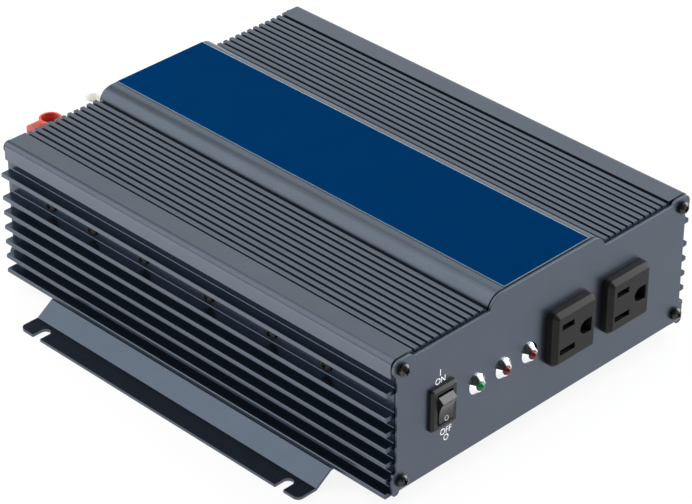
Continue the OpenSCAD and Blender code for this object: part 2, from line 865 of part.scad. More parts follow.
module switch_rocker() {
    w = rocker_hole_w - 2 * rocker_gap;
    pin_l = rocker_hole_w + 2 * switch_wall - 1;
    color([0.05, 0.05, 0.06])
    translate([switch_x, pivot_in, switch_z]) rotate([rocker_tilt, 0, 0]) {
        along_x(-w / 2, w / 2) rocker_section();
        translate([-pin_l / 2, 0, 0]) rotate([0, 90, 0]) cylinder(r = pivot_r, h = pin_l);
    }
}

module switch_tabs() {
    tab_w = 4.8;
    tab_l = 8;
    tab_t = 0.8;
    color([0.75, 0.75, 0.72])
    for (s = [-1, 1])
        translate([switch_x, switch_depth, switch_z + s * switch_body_h / 4])
            translate([-tab_w / 2, 0, -tab_t / 2]) cube([tab_w, tab_l, tab_t]);
}

// Bezel turned in one piece: rim, cone and tube, with a bore for the lamp
module lamp_bezels() {
    rim = 0.6;
    lip = lamp_r + 0.8;
    color([0.8, 0.8, 0.82])
    for (i = [0 : 2])
        to_front([lamp_x + i * lamp_pitch, 0, lamp_z])
            rotate_extrude() difference() {
                polygon([[0, -lamp_tube_l], [lamp_tube_r, -lamp_tube_l], [lamp_tube_r, 0], [lamp_rim_r, 0],
                         [lamp_rim_r, rim], [lip, lamp_cone], [0, lamp_cone]]);
                rect([-over, -lamp_tube_l - over], [lamp_r + cut_fit, lamp_cone + over]);
            }
}

// Domed lamp on Z with two leads
module lamp() {
    dome_z = lamp_cone - 0.2;
    lead_l = 7;
    lead_r = 0.3;
    rotate_extrude() {
        rect([0, -lamp_tube_l], [lamp_r, dome_z]);
        intersection() {
            translate([0, dome_z]) circle(lamp_r);
            rect([0, dome_z], [lamp_r, dome_z + lamp_r]);
        }
    }
    for (s = [-1, 1])
        translate([s * lamp_r / 2, 0, over - lamp_tube_l - lead_l]) cylinder(r = lead_r, h = lead_l);
}

module lamp_power() {
    color([0.1, 0.6, 0.3]) to_front([lamp_x, 0, lamp_z]) lamp();
}

module lamp_overload() {
    color([0.7, 0.1, 0.1]) to_front([lamp_x + lamp_pitch, 0, lamp_z]) lamp();
}

module lamp_overheat() {
    color([0.7, 0.1, 0.1]) to_front([lamp_x + 2 * lamp_pitch, 0, lamp_z]) lamp();
}

// Blade slots and ground hole of one outlet, seen from the front
module slot_section(grow) {
    translate([-blade_left, blade_pitch / 2])
        square([hot_l, blade_w + 2 * grow], center = true);
    translate([-blade_left, -blade_pitch / 2])
        square([neutral_l, blade_w + 2 * grow], center = true);
    translate([ground_pitch - blade_left, 0]) {
        circle(ground_r + grow);
        rect([0, -ground_r - grow], [ground_r + grow, ground_r + grow]);
    }
}

// One outlet block: bevelled face, body behind the panel, slots that widen round the contacts
module outlet() {
    floor_y = outlet_depth - 3;
    difference() {
        union() {
            bevel_block(outlet_w, outlet_w, outlet_r, outlet_out, outlet_bevel);
            along_y(0, outlet_depth) square(outlet_body_w, center = true);
        }
        along_y(-outlet_out - over, floor_y) slot_section(0);
        along_y(contact_in - outlet_out, floor_y) slot_section(contact_t);
    }
}

module outlet_left() {
    color([0.24, 0.24, 0.23]) translate([outlet_x, 0, outlet_z]) outlet();
}

module outlet_right() {
    color([0.24, 0.24, 0.23]) translate([outlet_x + outlet_pitch, 0, outlet_z]) outlet();
}

// Pairs of contact strips for the blades and a collar for the ground pin
module contacts() {
    y0 = contact_in - outlet_out;
    y1 = outlet_depth - 3;
    for (slot = [[blade_pitch / 2, hot_l], [-blade_pitch / 2, neutral_l]], s = [-1, 1])
        along_y(y0, y1) translate([-blade_left, slot[0] + s * (blade_w + contact_t) / 2])
            square([slot[1], contact_t], center = true);
    along_y(y0, y1) translate([ground_pitch - blade_left, 0]) difference() {
        circle(ground_r + contact_t);
        circle(ground_r);
        rect([0, -2 * ground_r], [2 * ground_r, 2 * ground_r]);
    }
}

module contacts_left() {
    color([0.75, 0.6, 0.3]) translate([outlet_x, 0, outlet_z]) contacts();
}

module contacts_right() {
    color([0.75, 0.6, 0.3]) translate([outlet_x + outlet_pitch, 0, outlet_z]) contacts();
}

// Moulded terminal block: neck through the panel, block, cup for the clamp screw
module terminal() {
    block_top = term_z + term_top;
    cup_in = cup_r - cup_t;
    difference() {
        union() {
            along_z(term_z - term_low, block_top) translate([0, rear_y + term_d / 2])
                round_rect(term_w, term_d, term_r);
            along_z(term_z - term_low, block_top)
                rect([-term_w / 2, rear_y], [term_w / 2, rear_y + term_r]);
            to_rear([0, rear_in_y, term_z]) cylinder(r = neck_r, h = panel_t + over);
            translate([0, cup_axis_y, term_z]) cylinder(r = cup_r, h = term_top + cup_h);
        }
        to_rear([0, rear_in_y - over, term_z])
            cylinder(r = sleeve_r + cut_fit, h = panel_t + term_d + 2 * over);
        translate([0, cup_axis_y, term_z + sleeve_r]) cylinder(r = cup_in, h = term_top + cup_h);
        translate([0, cup_axis_y, term_z]) cylinder(r = clamp_r + clamp_room, h = term_top);
    }
}

module terminal_positive() {
    color([0.78, 0.22, 0.18]) translate([term_x, 0, 0]) terminal();
}

module terminal_negative() {
    color([0.85, 0.86, 0.88]) translate([term_x + term_pitch, 0, 0]) terminal();
}

module terminal_sleeves() {
    color([0.78, 0.68, 0.4])
    for (i = [0, 1])
        translate([term_x + i * term_pitch, 0, 0])
        difference() {
            to_rear([0, sleeve_y, term_z]) cylinder(r = sleeve_r, h = sleeve_end_y - sleeve_y);
            to_rear([0, rear_y, term_z]) cylinder(r = cable_r, h = term_d);
            translate([0, cup_axis_y, term_z]) cylinder(r = clamp_r + clamp_fit, h = 2 * sleeve_r);
        }
}

module terminal_nuts() {
    color([0.7, 0.62, 0.38])
    for (i = [0, 1])
        to_rear([term_x + i * term_pitch, rear_in_y - nut_t, term_z])
            hex_nut(2 * (sleeve_r + term_nut_rim), nut_t, sleeve_r + screw_fit);
}

// Clamp screw, drawn back so that the cable hole is clear
module clamp_screw(x) {
    translate([x, cup_axis_y, clamp_z])
    difference() {
        cylinder(r = clamp_r, h = clamp_l);
        translate([0, 0, clamp_l / 2]) cylinder(r = clamp_hex / sqrt(3), h = clamp_l, $fn = 6);
    }
}

module clamp_screw_positive() {
    color([0.6, 0.6, 0.62]) clamp_screw(term_x);
}

module clamp_screw_negative() {
    color([0.6, 0.6, 0.62]) clamp_screw(term_x + term_pitch);
}

// Bent copper bars from the sleeve ends down to the circuit board
module busbars() {
    color([0.72, 0.45, 0.3])
    for (i = [0, 1])
        translate([term_x + i * term_pitch, 0, 0])
        along_x(-sleeve_r, sleeve_r) {
            rect([sleeve_y - bar_t, board_top], [sleeve_y, term_z + sleeve_r]);
            rect([bar_y, board_top], [sleeve_y, board_top + bar_t]);
        }
}

// Ground stud: hexagonal head inside, a thick shank through the panel and nut, and a thinner end
module ground_stud() {
    color([0.7, 0.7, 0.68])
    to_rear([stud_x, rear_in_y, stud_z]) {
        cylinder(r = stud_shank_r, h = panel_t + stud_free);
        translate([0, 0, panel_t + stud_free]) cylinder(r = stud_r, h = stud_l - stud_free);
        translate([0, 0, -nut_t]) cylinder(r = stud_nut_w / sqrt(3), h = nut_t, $fn = 6);
    }
}

module ground_nut() {
    color([0.7, 0.7, 0.68])
    to_rear([stud_x, rear_y, stud_z]) hex_nut(stud_nut_w, nut_t, stud_shank_r + screw_fit);
}

// Fan frame: ring between two square flanges, with a motor plate on struts and a bearing tube
module fan_frame() {
    tube_l = hub_l - 2;
    strut_w = 4;
    strut_l = 2 * fan_bore_r + 6;
    color([0.08, 0.08, 0.09])
    to_rear([fan_x, fan_y, fan_z]) {
        difference() {
            union() {
                cylinder(r = fan_bore_r + fan_wall, h = fan_d);
                for (z = [0, fan_d - fan_flange])
                    along_z(z, z + fan_flange) round_rect(fan_side, fan_side, fan_corner);
            }
            translate([0, 0, -over]) cylinder(r = fan_bore_r, h = fan_d + 2 * over);
            for (sx = [-1, 1], sy = [-1, 1])
                translate([sx * fan_hole_pitch / 2, sy * fan_hole_pitch / 2, -over])
                    cylinder(d = fan_screw_d + 2 * screw_fit, h = fan_d + 2 * over);
        }
        difference() {
            union() {
                cylinder(r = hub_r, h = fan_plate);
                cylinder(r = bearing_r, h = fan_plate + tube_l);
                for (a = [45, 135])
                    rotate(a) translate([-strut_l / 2, -strut_w / 2, 0]) cube([strut_l, strut_w, fan_plate]);
            }
            translate([0, 0, fan_plate / 2]) cylinder(r = shaft_r + shaft_fit, h = fan_d);
        }
    }
}

// Rotor: hub cup with shaft and pitched blades
module fan_rotor() {
    tip_r = fan_bore_r - blade_gap;
    shaft_l = hub_l - over;
    color([0.07, 0.07, 0.08])
    to_rear([fan_x, hub_y, fan_z]) {
        difference() {
            cylinder(r = hub_r, h = hub_l);
            translate([0, 0, -over]) cylinder(r = hub_r - hub_t, h = hub_l - hub_t + over);
        }
        translate([0, 0, hub_l - shaft_l]) cylinder(r = shaft_r, h = shaft_l - over);
        intersection() {
            difference() {
                cylinder(r = tip_r, h = hub_l);
                translate([0, 0, -over]) cylinder(r = hub_r - hub_t / 2, h = hub_l + 2 * over);
            }
            for (i = [0 : blade_n - 1])
                rotate(i * 360 / blade_n) translate([0, 0, hub_l / 2]) rotate([blade_angle, 0, 0])
                    translate([0, -blade_chord / 2, -blade_t / 2]) cube([tip_r + over, blade_chord, blade_t]);
        }
    }
}

// Motor winding round the bearing tube, inside the hub
module fan_motor() {
    lobe_r = hub_r - hub_t - motor_gap;
    motor_l = hub_l - hub_t - 3;
    color([0.7, 0.4, 0.2])
    to_rear([fan_x, fan_y + fan_plate, fan_z])
    difference() {
        cylinder(r = lobe_r, h = motor_l);
        translate([0, 0, -over]) cylinder(r = bearing_r + cut_fit, h = motor_l + 2 * over);
        for (a = [0 : 90 : 270])
            rotate(a) translate([lobe_r, 0, -over]) cylinder(r = lobe_r / 3, h = motor_l + 2 * over);
    }
}

// Wire guard: rings, four spokes and an eye at each screw
module fan_guard() {
    eye_r = fan_screw_d / 2 + wire_r + 0.3;
    eye = fan_hole_pitch / sqrt(2);
    color([0.7, 0.7, 0.72])
    to_rear([fan_x, rear_y + wire_r, fan_z]) {
        for (i = [1 : guard_n])
            rotate_extrude() translate([i * guard_pitch, 0]) circle(wire_r, $fn = 24);
        for (a = [45 : 90 : 315])
            rotate(a) {
                translate([guard_pitch, 0, 0]) rotate([0, 90, 0])
                    cylinder(r = wire_r, h = eye - eye_r - guard_pitch, $fn = 24);
                translate([eye, 0, 0]) rotate_extrude() translate([eye_r, 0]) circle(wire_r, $fn = 24);
            }
    }
}

module fan_screws() {
    color([0.6, 0.6, 0.62])
    for (sx = [-1, 1], sz = [-1, 1])
        to_rear([fan_x + sx * fan_hole_pitch / 2, rear_y + 2 * wire_r, fan_z + sz * fan_hole_pitch / 2])
            pan_screw(fan_screw_d, fan_head_h, fan_screw_d / 2, 2 * wire_r + panel_t + fan_d + nut_t);
}

module fan_nuts() {
    color([0.6, 0.6, 0.62])
    for (sx = [-1, 1], sz = [-1, 1])
        to_front([fan_x + sx * fan_hole_pitch / 2, fan_y, fan_z + sz * fan_hole_pitch / 2])
            hex_nut(fan_nut_w, nut_t - over, fan_screw_d / 2 + screw_fit);
}

module main_board() {
    color([0.1, 0.35, 0.18])
    difference() {
        along_z(board_z, board_top) difference() {
            rect([-board_x, board_y], [board_x, board_end_y]);
            rect([fan_x - fan_half - board_fan_gap, fan_notch_y],
                 [fan_x + fan_half + board_fan_gap, rear_y]);
        }
        for (s = [-1, 1], y = standoff_y)
            translate([s * standoff_x, y, board_z - over])
                cylinder(d = board_screw_d + 2 * screw_fit, h = board_t + 2 * over);
    }
}

module board_standoffs() {
    color([0.75, 0.65, 0.4])
    for (s = [-1, 1], y = standoff_y)
        translate([s * standoff_x, y, web_z])
        difference() {
            cylinder(r = standoff_r, h = standoff_h, $fn = 6);
            translate([0, 0, over]) cylinder(d = board_screw_d + 2 * screw_fit, h = standoff_h);
        }
}

module board_screws() {
    color([0.65, 0.65, 0.66])
    for (s = [-1, 1], y = standoff_y)
        translate([s * standoff_x, y, board_top])
            pan_screw(board_screw_d, 2, board_screw_d / 2, board_t + standoff_h - 3);
}

// Upright card with the control circuits
module control_board() {
    color([0.1, 0.3, 0.2])
    translate([card_x, board_y + card_y, board_top]) cube([board_t, card_l, card_h]);
}

module input_fuses() {
    color([0.85, 0.5, 0.15])
    for (i = [0 : 2])
        translate([fuse_x, bar_y - fuse_t - i * fuse_pitch, board_top]) cube([fuse_w, fuse_t, fuse_h]);
}

// Place of each transformer on the board
module at_transformers() {
    for (i = [0, 1])
        translate([transformer_x, board_y + transformer_y + i * transformer_pitch, board_top]) children();
}

// Core with two windows beside a middle leg
module transformer_cores() {
    color([0.2, 0.2, 0.21])
    at_transformers()
    difference() {
        translate([-core_w / 2, -core_d / 2, 0]) cube([core_w, core_d, core_h]);
        for (s = [-1, 1])
            translate([s * (leg_w + window_w) / 2 - window_w / 2, -core_d, yoke_h])
                cube([window_w, 2 * core_d, core_h - 2 * yoke_h]);
    }
}

module transformer_windings() {
    coil = window_w - 2 * cut_fit;
    color([0.75, 0.55, 0.25])
    at_transformers()
    along_z(yoke_h, core_h - yoke_h) difference() {
        square([leg_w + 2 * coil + 2 * cut_fit, core_d + 2 * coil + 2 * cut_fit], center = true);
        square([leg_w + 2 * cut_fit, core_d + 2 * cut_fit], center = true);
    }
}

module bus_capacitors() {
    color([0.15, 0.2, 0.4])
    for (i = [0 : 2])
        translate([bus_cap_x, board_y + bus_cap_y + i * (2 * bus_cap_r + bus_cap_gap), board_top])
            cylinder(r = bus_cap_r, h = bus_cap_h);
}

module input_capacitors() {
    step = 2 * in_cap_r + in_cap_gap;
    color([0.12, 0.12, 0.14])
    for (i = [0 : 2], j = [0, 1])
        translate([in_cap_x + i * step, bar_y - step / 2 - j * step, board_top])
            cylinder(r = in_cap_r, h = in_cap_h);
}

// Ring core of the output choke, lying flat on its winding
module choke_core() {
    color([0.55, 0.5, 0.25])
    translate([choke_x, board_y + choke_y, board_top + choke_wire])
    difference() {
        cylinder(r = choke_r, h = choke_h);
        translate([0, 0, -over]) cylinder(r = choke_r - choke_ring, h = choke_h + 2 * over);
    }
}

// Winding wrapped round the ring in two halves
module choke_winding() {
    inner = choke_r - choke_ring;
    color([0.7, 0.4, 0.25])
    translate([choke_x, board_y + choke_y, board_top])
    for (a = [15, 195])
        rotate(a) rotate_extrude(angle = 150) difference() {
            rect([inner - choke_wire, 0], [choke_r + choke_wire, choke_h + 2 * choke_wire]);
            rect([inner - wrap_gap, choke_wire - wrap_gap],
                 [choke_r + wrap_gap, choke_h + choke_wire + wrap_gap]);
        }
}

// Puts a shape at every side screw on the right wall, with +Z pointing out of the case
module at_side_screws() {
    for (y = side_screw_y)
        translate([wall_x, case_y + y, side_screw_z]) rotate([0, 90, 0]) children();
}

// Power transistor flat against the thermal pad, with three legs down to the board
module transistor() {
    x = wall_in - pad_t;
    low_z = side_screw_z + transistor_above - transistor_h;
    leg = 1.2;
    difference() {
        translate([x - transistor_t, -transistor_w / 2, low_z])
            cube([transistor_t, transistor_w, transistor_h]);
        translate([0, 0, side_screw_z]) rotate([0, 90, 0])
            cylinder(d = side_screw_d + 2 * screw_fit, h = wall_x);
    }
    for (s = [-1 : 1])
        translate([x - transistor_t / 2 - leg / 2, s * transistor_w / 3 - leg / 2, board_top])
            cube([leg, leg, low_z - board_top]);
}

module transistors() {
    color([0.1, 0.1, 0.11])
    both() for (y = side_screw_y)
        translate([0, case_y + y, 0]) transistor();
}

module thermal_pads() {
    color([0.7, 0.72, 0.7])
    both() at_side_screws()
        translate([0, 0, -wall_t - pad_t])
        difference() {
            translate([-transistor_above, -transistor_w / 2, 0]) cube([transistor_h, transistor_w, pad_t]);
            translate([0, 0, -over]) cylinder(d = side_screw_d + 2 * screw_fit, h = pad_t + 2 * over);
        }
}

module side_screws() {
    at_side_screws()
        pan_screw(side_head_d / 2, side_head_h, side_screw_d / 2, wall_t + pad_t + transistor_t + nut_t);
}

module side_screws_left() {
    color([0.07, 0.07, 0.08]) mirror([1, 0, 0]) side_screws();
}

module side_screws_right() {
    color([0.07, 0.07, 0.08]) side_screws();
}

module transistor_nuts() {
    color([0.6, 0.6, 0.62])
    both() at_side_screws()
        translate([0, 0, -wall_t - pad_t - transistor_t - nut_t + over])
            hex_nut(transistor_nut_w, nut_t - over, side_screw_d / 2 + screw_fit);
}

// Moves a piece from the front panel's face into the part's own frame
module place() {
    translate([0, -mid_y, 0]) children();
}

place() housing();
place() base_plate();
place() base_screws();
place() front_panel();
place() front_panel_screws();
place() rear_panel();
place() rear_panel_screws();
place() label_plate();
place() switch_housing();
place() switch_rocker();
place() switch_tabs();
place() lamp_bezels();
place() lamp_power();
place() lamp_overload();
place() lamp_overheat();
place() outlet_left();
place() outlet_right();
place() contacts_left();
place() contacts_right();
place() terminal_positive();
place() terminal_negative();
place() terminal_sleeves();
place() terminal_nuts();
place() clamp_screw_positive();
place() clamp_screw_negative();
place() busbars();
place() ground_stud();
place() ground_nut();
place() fan_frame();
place() fan_rotor();
place() fan_motor();
place() fan_guard();
place() fan_screws();
place() fan_nuts();
place() main_board();
place() board_standoffs();
place() board_screws();
place() control_board();
place() input_fuses();
place() transformer_cores();
place() transformer_windings();
place() bus_capacitors();
place() input_capacitors();
place() choke_core();
place() choke_winding();
place() transistors();
place() thermal_pads();
place() side_screws_left();
place() side_screws_right();
place() transistor_nuts();
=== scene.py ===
# %% [markdown]
# # A power inverter in a finned case
# We dress a finished model: an extruded case on a flanged base, with a switch, three lamps and
# two outlets at the front and two cable terminals at the rear. The exact solids come from the
# frame. Here they get their finishes, rounded edges, screw recesses and printed marks.

# %% Load the frame
import math

import bmesh
import bpy
from mathutils import Matrix, Vector
from mathutils.bvhtree import BVHTree


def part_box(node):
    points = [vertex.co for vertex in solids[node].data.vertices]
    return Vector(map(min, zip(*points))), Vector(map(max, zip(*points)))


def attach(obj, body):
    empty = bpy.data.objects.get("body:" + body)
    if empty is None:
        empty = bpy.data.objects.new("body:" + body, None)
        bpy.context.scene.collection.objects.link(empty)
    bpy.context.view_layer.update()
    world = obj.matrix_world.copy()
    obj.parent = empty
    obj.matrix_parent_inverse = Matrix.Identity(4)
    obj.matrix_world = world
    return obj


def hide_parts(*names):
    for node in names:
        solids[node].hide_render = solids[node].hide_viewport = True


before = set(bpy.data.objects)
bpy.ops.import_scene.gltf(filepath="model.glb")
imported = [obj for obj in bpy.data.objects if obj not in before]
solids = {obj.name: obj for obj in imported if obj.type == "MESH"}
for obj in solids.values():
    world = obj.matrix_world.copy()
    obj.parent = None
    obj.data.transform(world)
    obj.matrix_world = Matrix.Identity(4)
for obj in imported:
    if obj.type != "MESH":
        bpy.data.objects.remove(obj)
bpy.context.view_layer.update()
scene = bpy.context.scene
MM = 0.001
print("solids:", len(solids))

# %% [markdown]
# The camera stands at the front left, a good metre away, and looks down at the inverter through
# a long lens. Its place was worked out from the outlets' standard slot spacing, so the view can
# be written as a position, a heading, a tilt and a small roll.

# %% Camera
CAMERA_AT = Vector((-839.626, -846.715, 795.484)) * MM
CAMERA_HEADING = math.radians(-45.13027)
CAMERA_TILT = math.radians(57.23129)
CAMERA_ROLL = math.radians(0.21292)
CAMERA_LENS = 158.3828
SENSOR_WIDTH = 36.0
NEAREST_SEEN = 0.05
FURTHEST_SEEN = 50

lens = bpy.data.cameras.new("photo_camera")
lens.lens = CAMERA_LENS
lens.sensor_width = SENSOR_WIDTH
lens.sensor_fit = "HORIZONTAL"
lens.clip_start = NEAREST_SEEN
lens.clip_end = FURTHEST_SEEN
camera = bpy.data.objects.new("photo_camera", lens)
scene.collection.objects.link(camera)
turn = (Matrix.Rotation(CAMERA_HEADING, 4, "Z") @ Matrix.Rotation(CAMERA_TILT, 4, "X")
        @ Matrix.Rotation(CAMERA_ROLL, 4, "Z"))
camera.matrix_world = Matrix.Translation(CAMERA_AT) @ turn
scene.camera = camera
print("camera", tuple(round(v, 3) for v in camera.location))

# %% [markdown]
# Finishes and light are both made of nodes, so two small helpers come first: one adds a node, the
# other joins two sockets.

# %% Node helpers
def node(tree, kind, **values):
    """Adds a node and sets its own values, such as its operation."""
    made = tree.nodes.new(kind)
    for key, value in values.items():
        setattr(made, key, value)
    return made


def link(tree, a, b):
    """Joins an output socket to an input socket."""
    tree.links.new(a, b)


print("helpers:", node.__name__, link.__name__)

# %% [markdown]
# The case has a dark, satin, metallic coat, so what we see on it is mostly a reflection of the
# studio. The room is therefore built from soft-edged patches of light: a pale wall on the right, a
# soft box at the rear left, a ceiling, a small lamp overhead, a box low at the front right and a
# faint wall in front. One corner, high at the front, is kept dark. Area lamps could do this too, but
# a patch is only a direction, a size and a strength, and its soft edge gives highlights soft ends.
# Each one is the dot product of the view direction and the patch's own direction, turned into a
# smooth step.

# %% Patches of light
world = bpy.data.worlds.new("studio")
scene.world = world
world.use_nodes = True
sky = world.node_tree
sky.nodes.clear()
sky_dir = node(sky, "ShaderNodeTexCoord")


def patch(towards, start, full, outside, inside):
    """Brightness that goes from outside to inside as a direction nears the patch's middle."""
    dot = node(sky, "ShaderNodeVectorMath", operation="DOT_PRODUCT")
    dot.inputs[1].default_value = Vector(towards).normalized()
    step = node(sky, "ShaderNodeMapRange", interpolation_type="SMOOTHSTEP")
    step.inputs["From Min"].default_value = start
    step.inputs["From Max"].default_value = full
    step.inputs["To Min"].default_value = outside
    step.inputs["To Max"].default_value = inside
    link(sky, sky_dir.outputs["Generated"], dot.inputs[0])
    link(sky, dot.outputs["Value"], step.inputs["Value"])
    return step.outputs["Result"]


def combine(how, a, b):
    """Adds or multiplies two brightnesses."""
    made = node(sky, "ShaderNodeMath", operation=how)
    link(sky, a, made.inputs[0])
    link(sky, b, made.inputs[1])
    return made.outputs[0]


right_wall = patch((0.85, 0.30, 0.10), start=0.62, full=0.74, outside=0.40, inside=1.07)
soft_box = patch((-0.55, 0.60, 0.57), start=0.80, full=0.95, outside=0.0, inside=1.20)
ceiling = patch((0.10, 0.12, 0.98), start=0.80, full=0.92, outside=0.0, inside=1.35)
top_lamp = patch((0.60, -0.33, 0.72), start=0.93, full=0.98, outside=0.0, inside=6.0)
front_box = patch((0.85, -0.45, 0.25), start=0.93, full=0.985, outside=0.0, inside=8.0)
front_wall = patch((0.05, -0.93, 0.35), start=0.50, full=0.85, outside=0.0, inside=0.35)
dark_corner = patch((-0.12, -0.62, 0.77), start=0.84, full=0.93, outside=1.0, inside=0.06)
patches = (right_wall, soft_box, ceiling, top_lamp, front_box, front_wall)
level = patches[0]
for more in patches[1:]:
    level = combine("ADD", level, more)
level = combine("MULTIPLY", level, dark_corner)
print("patches of light:", len(patches), "and one dark corner")

# %% [markdown]
# The patches light the object, but the camera is to see plain white behind it. The world therefore
# has two backgrounds, and the kind of ray picks between them.

# %% White for the camera, patches for the light
WHITE = (1, 1, 1, 1)
SKY_TINT = (0.97, 0.985, 1.0, 1)
scene.view_settings.view_transform = "Standard"
sky_out = node(sky, "ShaderNodeOutputWorld")
sky_seen = node(sky, "ShaderNodeBackground")
sky_seen.inputs["Color"].default_value = WHITE
sky_lit = node(sky, "ShaderNodeBackground")
sky_lit.inputs["Color"].default_value = SKY_TINT
sky_mix = node(sky, "ShaderNodeMixShader")
sky_path = node(sky, "ShaderNodeLightPath")
link(sky, level, sky_lit.inputs["Strength"])
link(sky, sky_path.outputs["Is Camera Ray"], sky_mix.inputs["Fac"])
link(sky, sky_lit.outputs[0], sky_mix.inputs[1])
link(sky, sky_seen.outputs[0], sky_mix.inputs[2])
link(sky, sky_mix.outputs[0], sky_out.inputs["Surface"])
print("world nodes:", len(sky.nodes))

# %% [markdown]
# The terminals at the rear left stand in the shade of the case. A small area lamp lifts them. It
# is kept out of the reflections, so the coat doesn't mirror it.

# %% Lamp for the terminals
LAMP_AT = Vector((-0.35, 0.42, 0.30))
LAMP_AIM = Vector((-0.04, 0.125, 0.06))
LAMP_POWER = 2.0
LAMP_SIZE = 0.25
bulb = bpy.data.lights.new("rear_lamp", "AREA")
bulb.energy = LAMP_POWER
bulb.size = LAMP_SIZE
lamp = bpy.data.objects.new("rear_lamp", bulb)
scene.collection.objects.link(lamp)
lamp.location = LAMP_AT
lamp.rotation_euler = (LAMP_AIM - LAMP_AT).to_track_quat("-Z", "Y").to_euler()
lamp.visible_glossy = False
print("lamp", bulb.energy, "W")

# %% [markdown]
# The floor is a large pale sheet. To the camera and in reflections it is white paper, and mixing
# in some plain diffuse keeps the soft shadow that shows where the flanges stand. In reflections the
# paper also carries a painted pool of light on the left, so that the upright faces of the eave and
# the fins, which mirror that side of it, are bright.

# %% Paper for the floor
PAPER_COLOUR = (0.93, 0.93, 0.93, 1)
SHADOW_SHARE = 0.12
# Where the painted pool of light on the left starts and is full, in metres of x, and what it adds
POOL_START = -0.12
POOL_FULL = -0.20
POOL_GAIN = 0.8


def coordinate(tree, axis):
    """The place along one axis of the object, in metres, as a socket."""
    place = node(tree, "ShaderNodeTexCoord")
    split = node(tree, "ShaderNodeSeparateXYZ")
    link(tree, place.outputs["Object"], split.inputs[0])
    return split.outputs[axis]


def painted_light_pool(tree, reflected):
    """Strength of the white: 1, and more on the left in rays that were reflected: a painted pool of light.
    """
    pool = node(tree, "ShaderNodeMapRange", interpolation_type="SMOOTHSTEP")
    pool.inputs["From Min"].default_value = POOL_START
    pool.inputs["From Max"].default_value = POOL_FULL
    pool.inputs["To Min"].default_value = 0.0
    pool.inputs["To Max"].default_value = POOL_GAIN
    gain = node(tree, "ShaderNodeMath", operation="MULTIPLY_ADD")
    gain.inputs[2].default_value = 1.0
    link(tree, coordinate(tree, "X"), pool.inputs["Value"])
    link(tree, pool.outputs["Result"], gain.inputs[0])
    link(tree, reflected, gain.inputs[1])
    return gain.outputs[0]


def floor_paper():
    """Diffuse paper that is white to the camera and to reflections."""
    made = bpy.data.materials.new("floor_paper")
    made.use_nodes = True
    tree = made.node_tree
    tree.nodes.clear()
    out = node(tree, "ShaderNodeOutputMaterial")
    diffuse = node(tree, "ShaderNodeBsdfDiffuse")
    diffuse.inputs["Color"].default_value = PAPER_COLOUR
    white = node(tree, "ShaderNodeEmission")
    white.inputs["Color"].default_value = WHITE
    shaded = node(tree, "ShaderNodeMixShader")
    shaded.inputs["Fac"].default_value = SHADOW_SHARE
    path = node(tree, "ShaderNodeLightPath")
    seen = node(tree, "ShaderNodeMath", operation="MAXIMUM")
    pick = node(tree, "ShaderNodeMixShader")
    link(tree, painted_light_pool(tree, path.outputs["Is Glossy Ray"]), white.inputs["Strength"])
    link(tree, white.outputs[0], shaded.inputs[1])
    link(tree, diffuse.outputs[0], shaded.inputs[2])
    link(tree, path.outputs["Is Camera Ray"], seen.inputs[0])
    link(tree, path.outputs["Is Glossy Ray"], seen.inputs[1])
    link(tree, seen.outputs[0], pick.inputs["Fac"])
    link(tree, diffuse.outputs[0], pick.inputs[1])
    link(tree, shaded.outputs[0], pick.inputs[2])
    link(tree, pick.outputs[0], out.inputs["Surface"])
    return made


paper = floor_paper()
print("paper nodes:", len(paper.node_tree.nodes))

# %% Floor sheet
FLOOR_HALF = 6.0
FLOOR_DROP = 0.2 * MM
CORNER_SIGNS = ((-1, -1), (1, -1), (1, 1), (-1, 1))


def studio_sheet(name, corners, material):
    """A flat four-cornered sheet of the studio."""
    mesh = bpy.data.meshes.new(name)
    mesh.from_pydata(corners, [], [(0, 1, 2, 3)])
    mesh.materials.append(material)
    made = bpy.data.objects.new(name, mesh)
    scene.collection.objects.link(made)
    return made


floor_corners = [(i * FLOOR_HALF, j * FLOOR_HALF, -FLOOR_DROP) for i, j in CORNER_SIGNS]
floor = studio_sheet("floor", floor_corners, paper)
print("floor", 2 * FLOOR_HALF, "m wide")

# %% [markdown]
# Chrome looks like chrome when it has something dark to mirror. A photographer holds a black card
# near a bright fitting for that. This one stands before the lamps of the front panel, and only
# reflections see it.

# %% Black card before the lamps
CARD_AT = Vector((-0.06, -0.30, 0.115))
CARD_HALF = Vector((0.12, 0.085))
CARD_COLOUR = (0.01, 0.01, 0.01, 1)
felt = bpy.data.materials.new("black_felt")
felt.use_nodes = True
felt_skin = felt.node_tree.nodes["Principled BSDF"].inputs
felt_skin["Base Color"].default_value = CARD_COLOUR
felt_skin["Roughness"].default_value = 1.0
card_corners = [(CARD_AT.x + i * CARD_HALF.x, CARD_AT.y, CARD_AT.z + k * CARD_HALF.y)
                for i, k in CORNER_SIGNS]
card = studio_sheet("black_card", card_corners, felt)
card.visible_camera = False
card.visible_diffuse = False
card.visible_shadow = False
card.visible_transmission = False
print("card", [round(2 * v, 2) for v in CARD_HALF], "m")

# %% [markdown]
# Every finish starts the same way: one soft noise shifts the colour a little, a finer one gives
# the surface its grain and breaks up the gloss. Object coordinates are metres here, so a scale of
# 2000 means features of about half a millimetre. The relief is given in millimetres.

# %% A finish with grain
DRIFT_SCALE = 60.0
DRIFT_DETAIL = 3
DRIFT_FROM = 0.3
DRIFT_TO = 0.7
GRAIN_SCALE = 2000.0
GRAIN_DETAIL = 2
GRAIN_STRENGTH = 0.5
ROUGH_SPREAD = 0.06
ROUGH_LEAST = 0.02


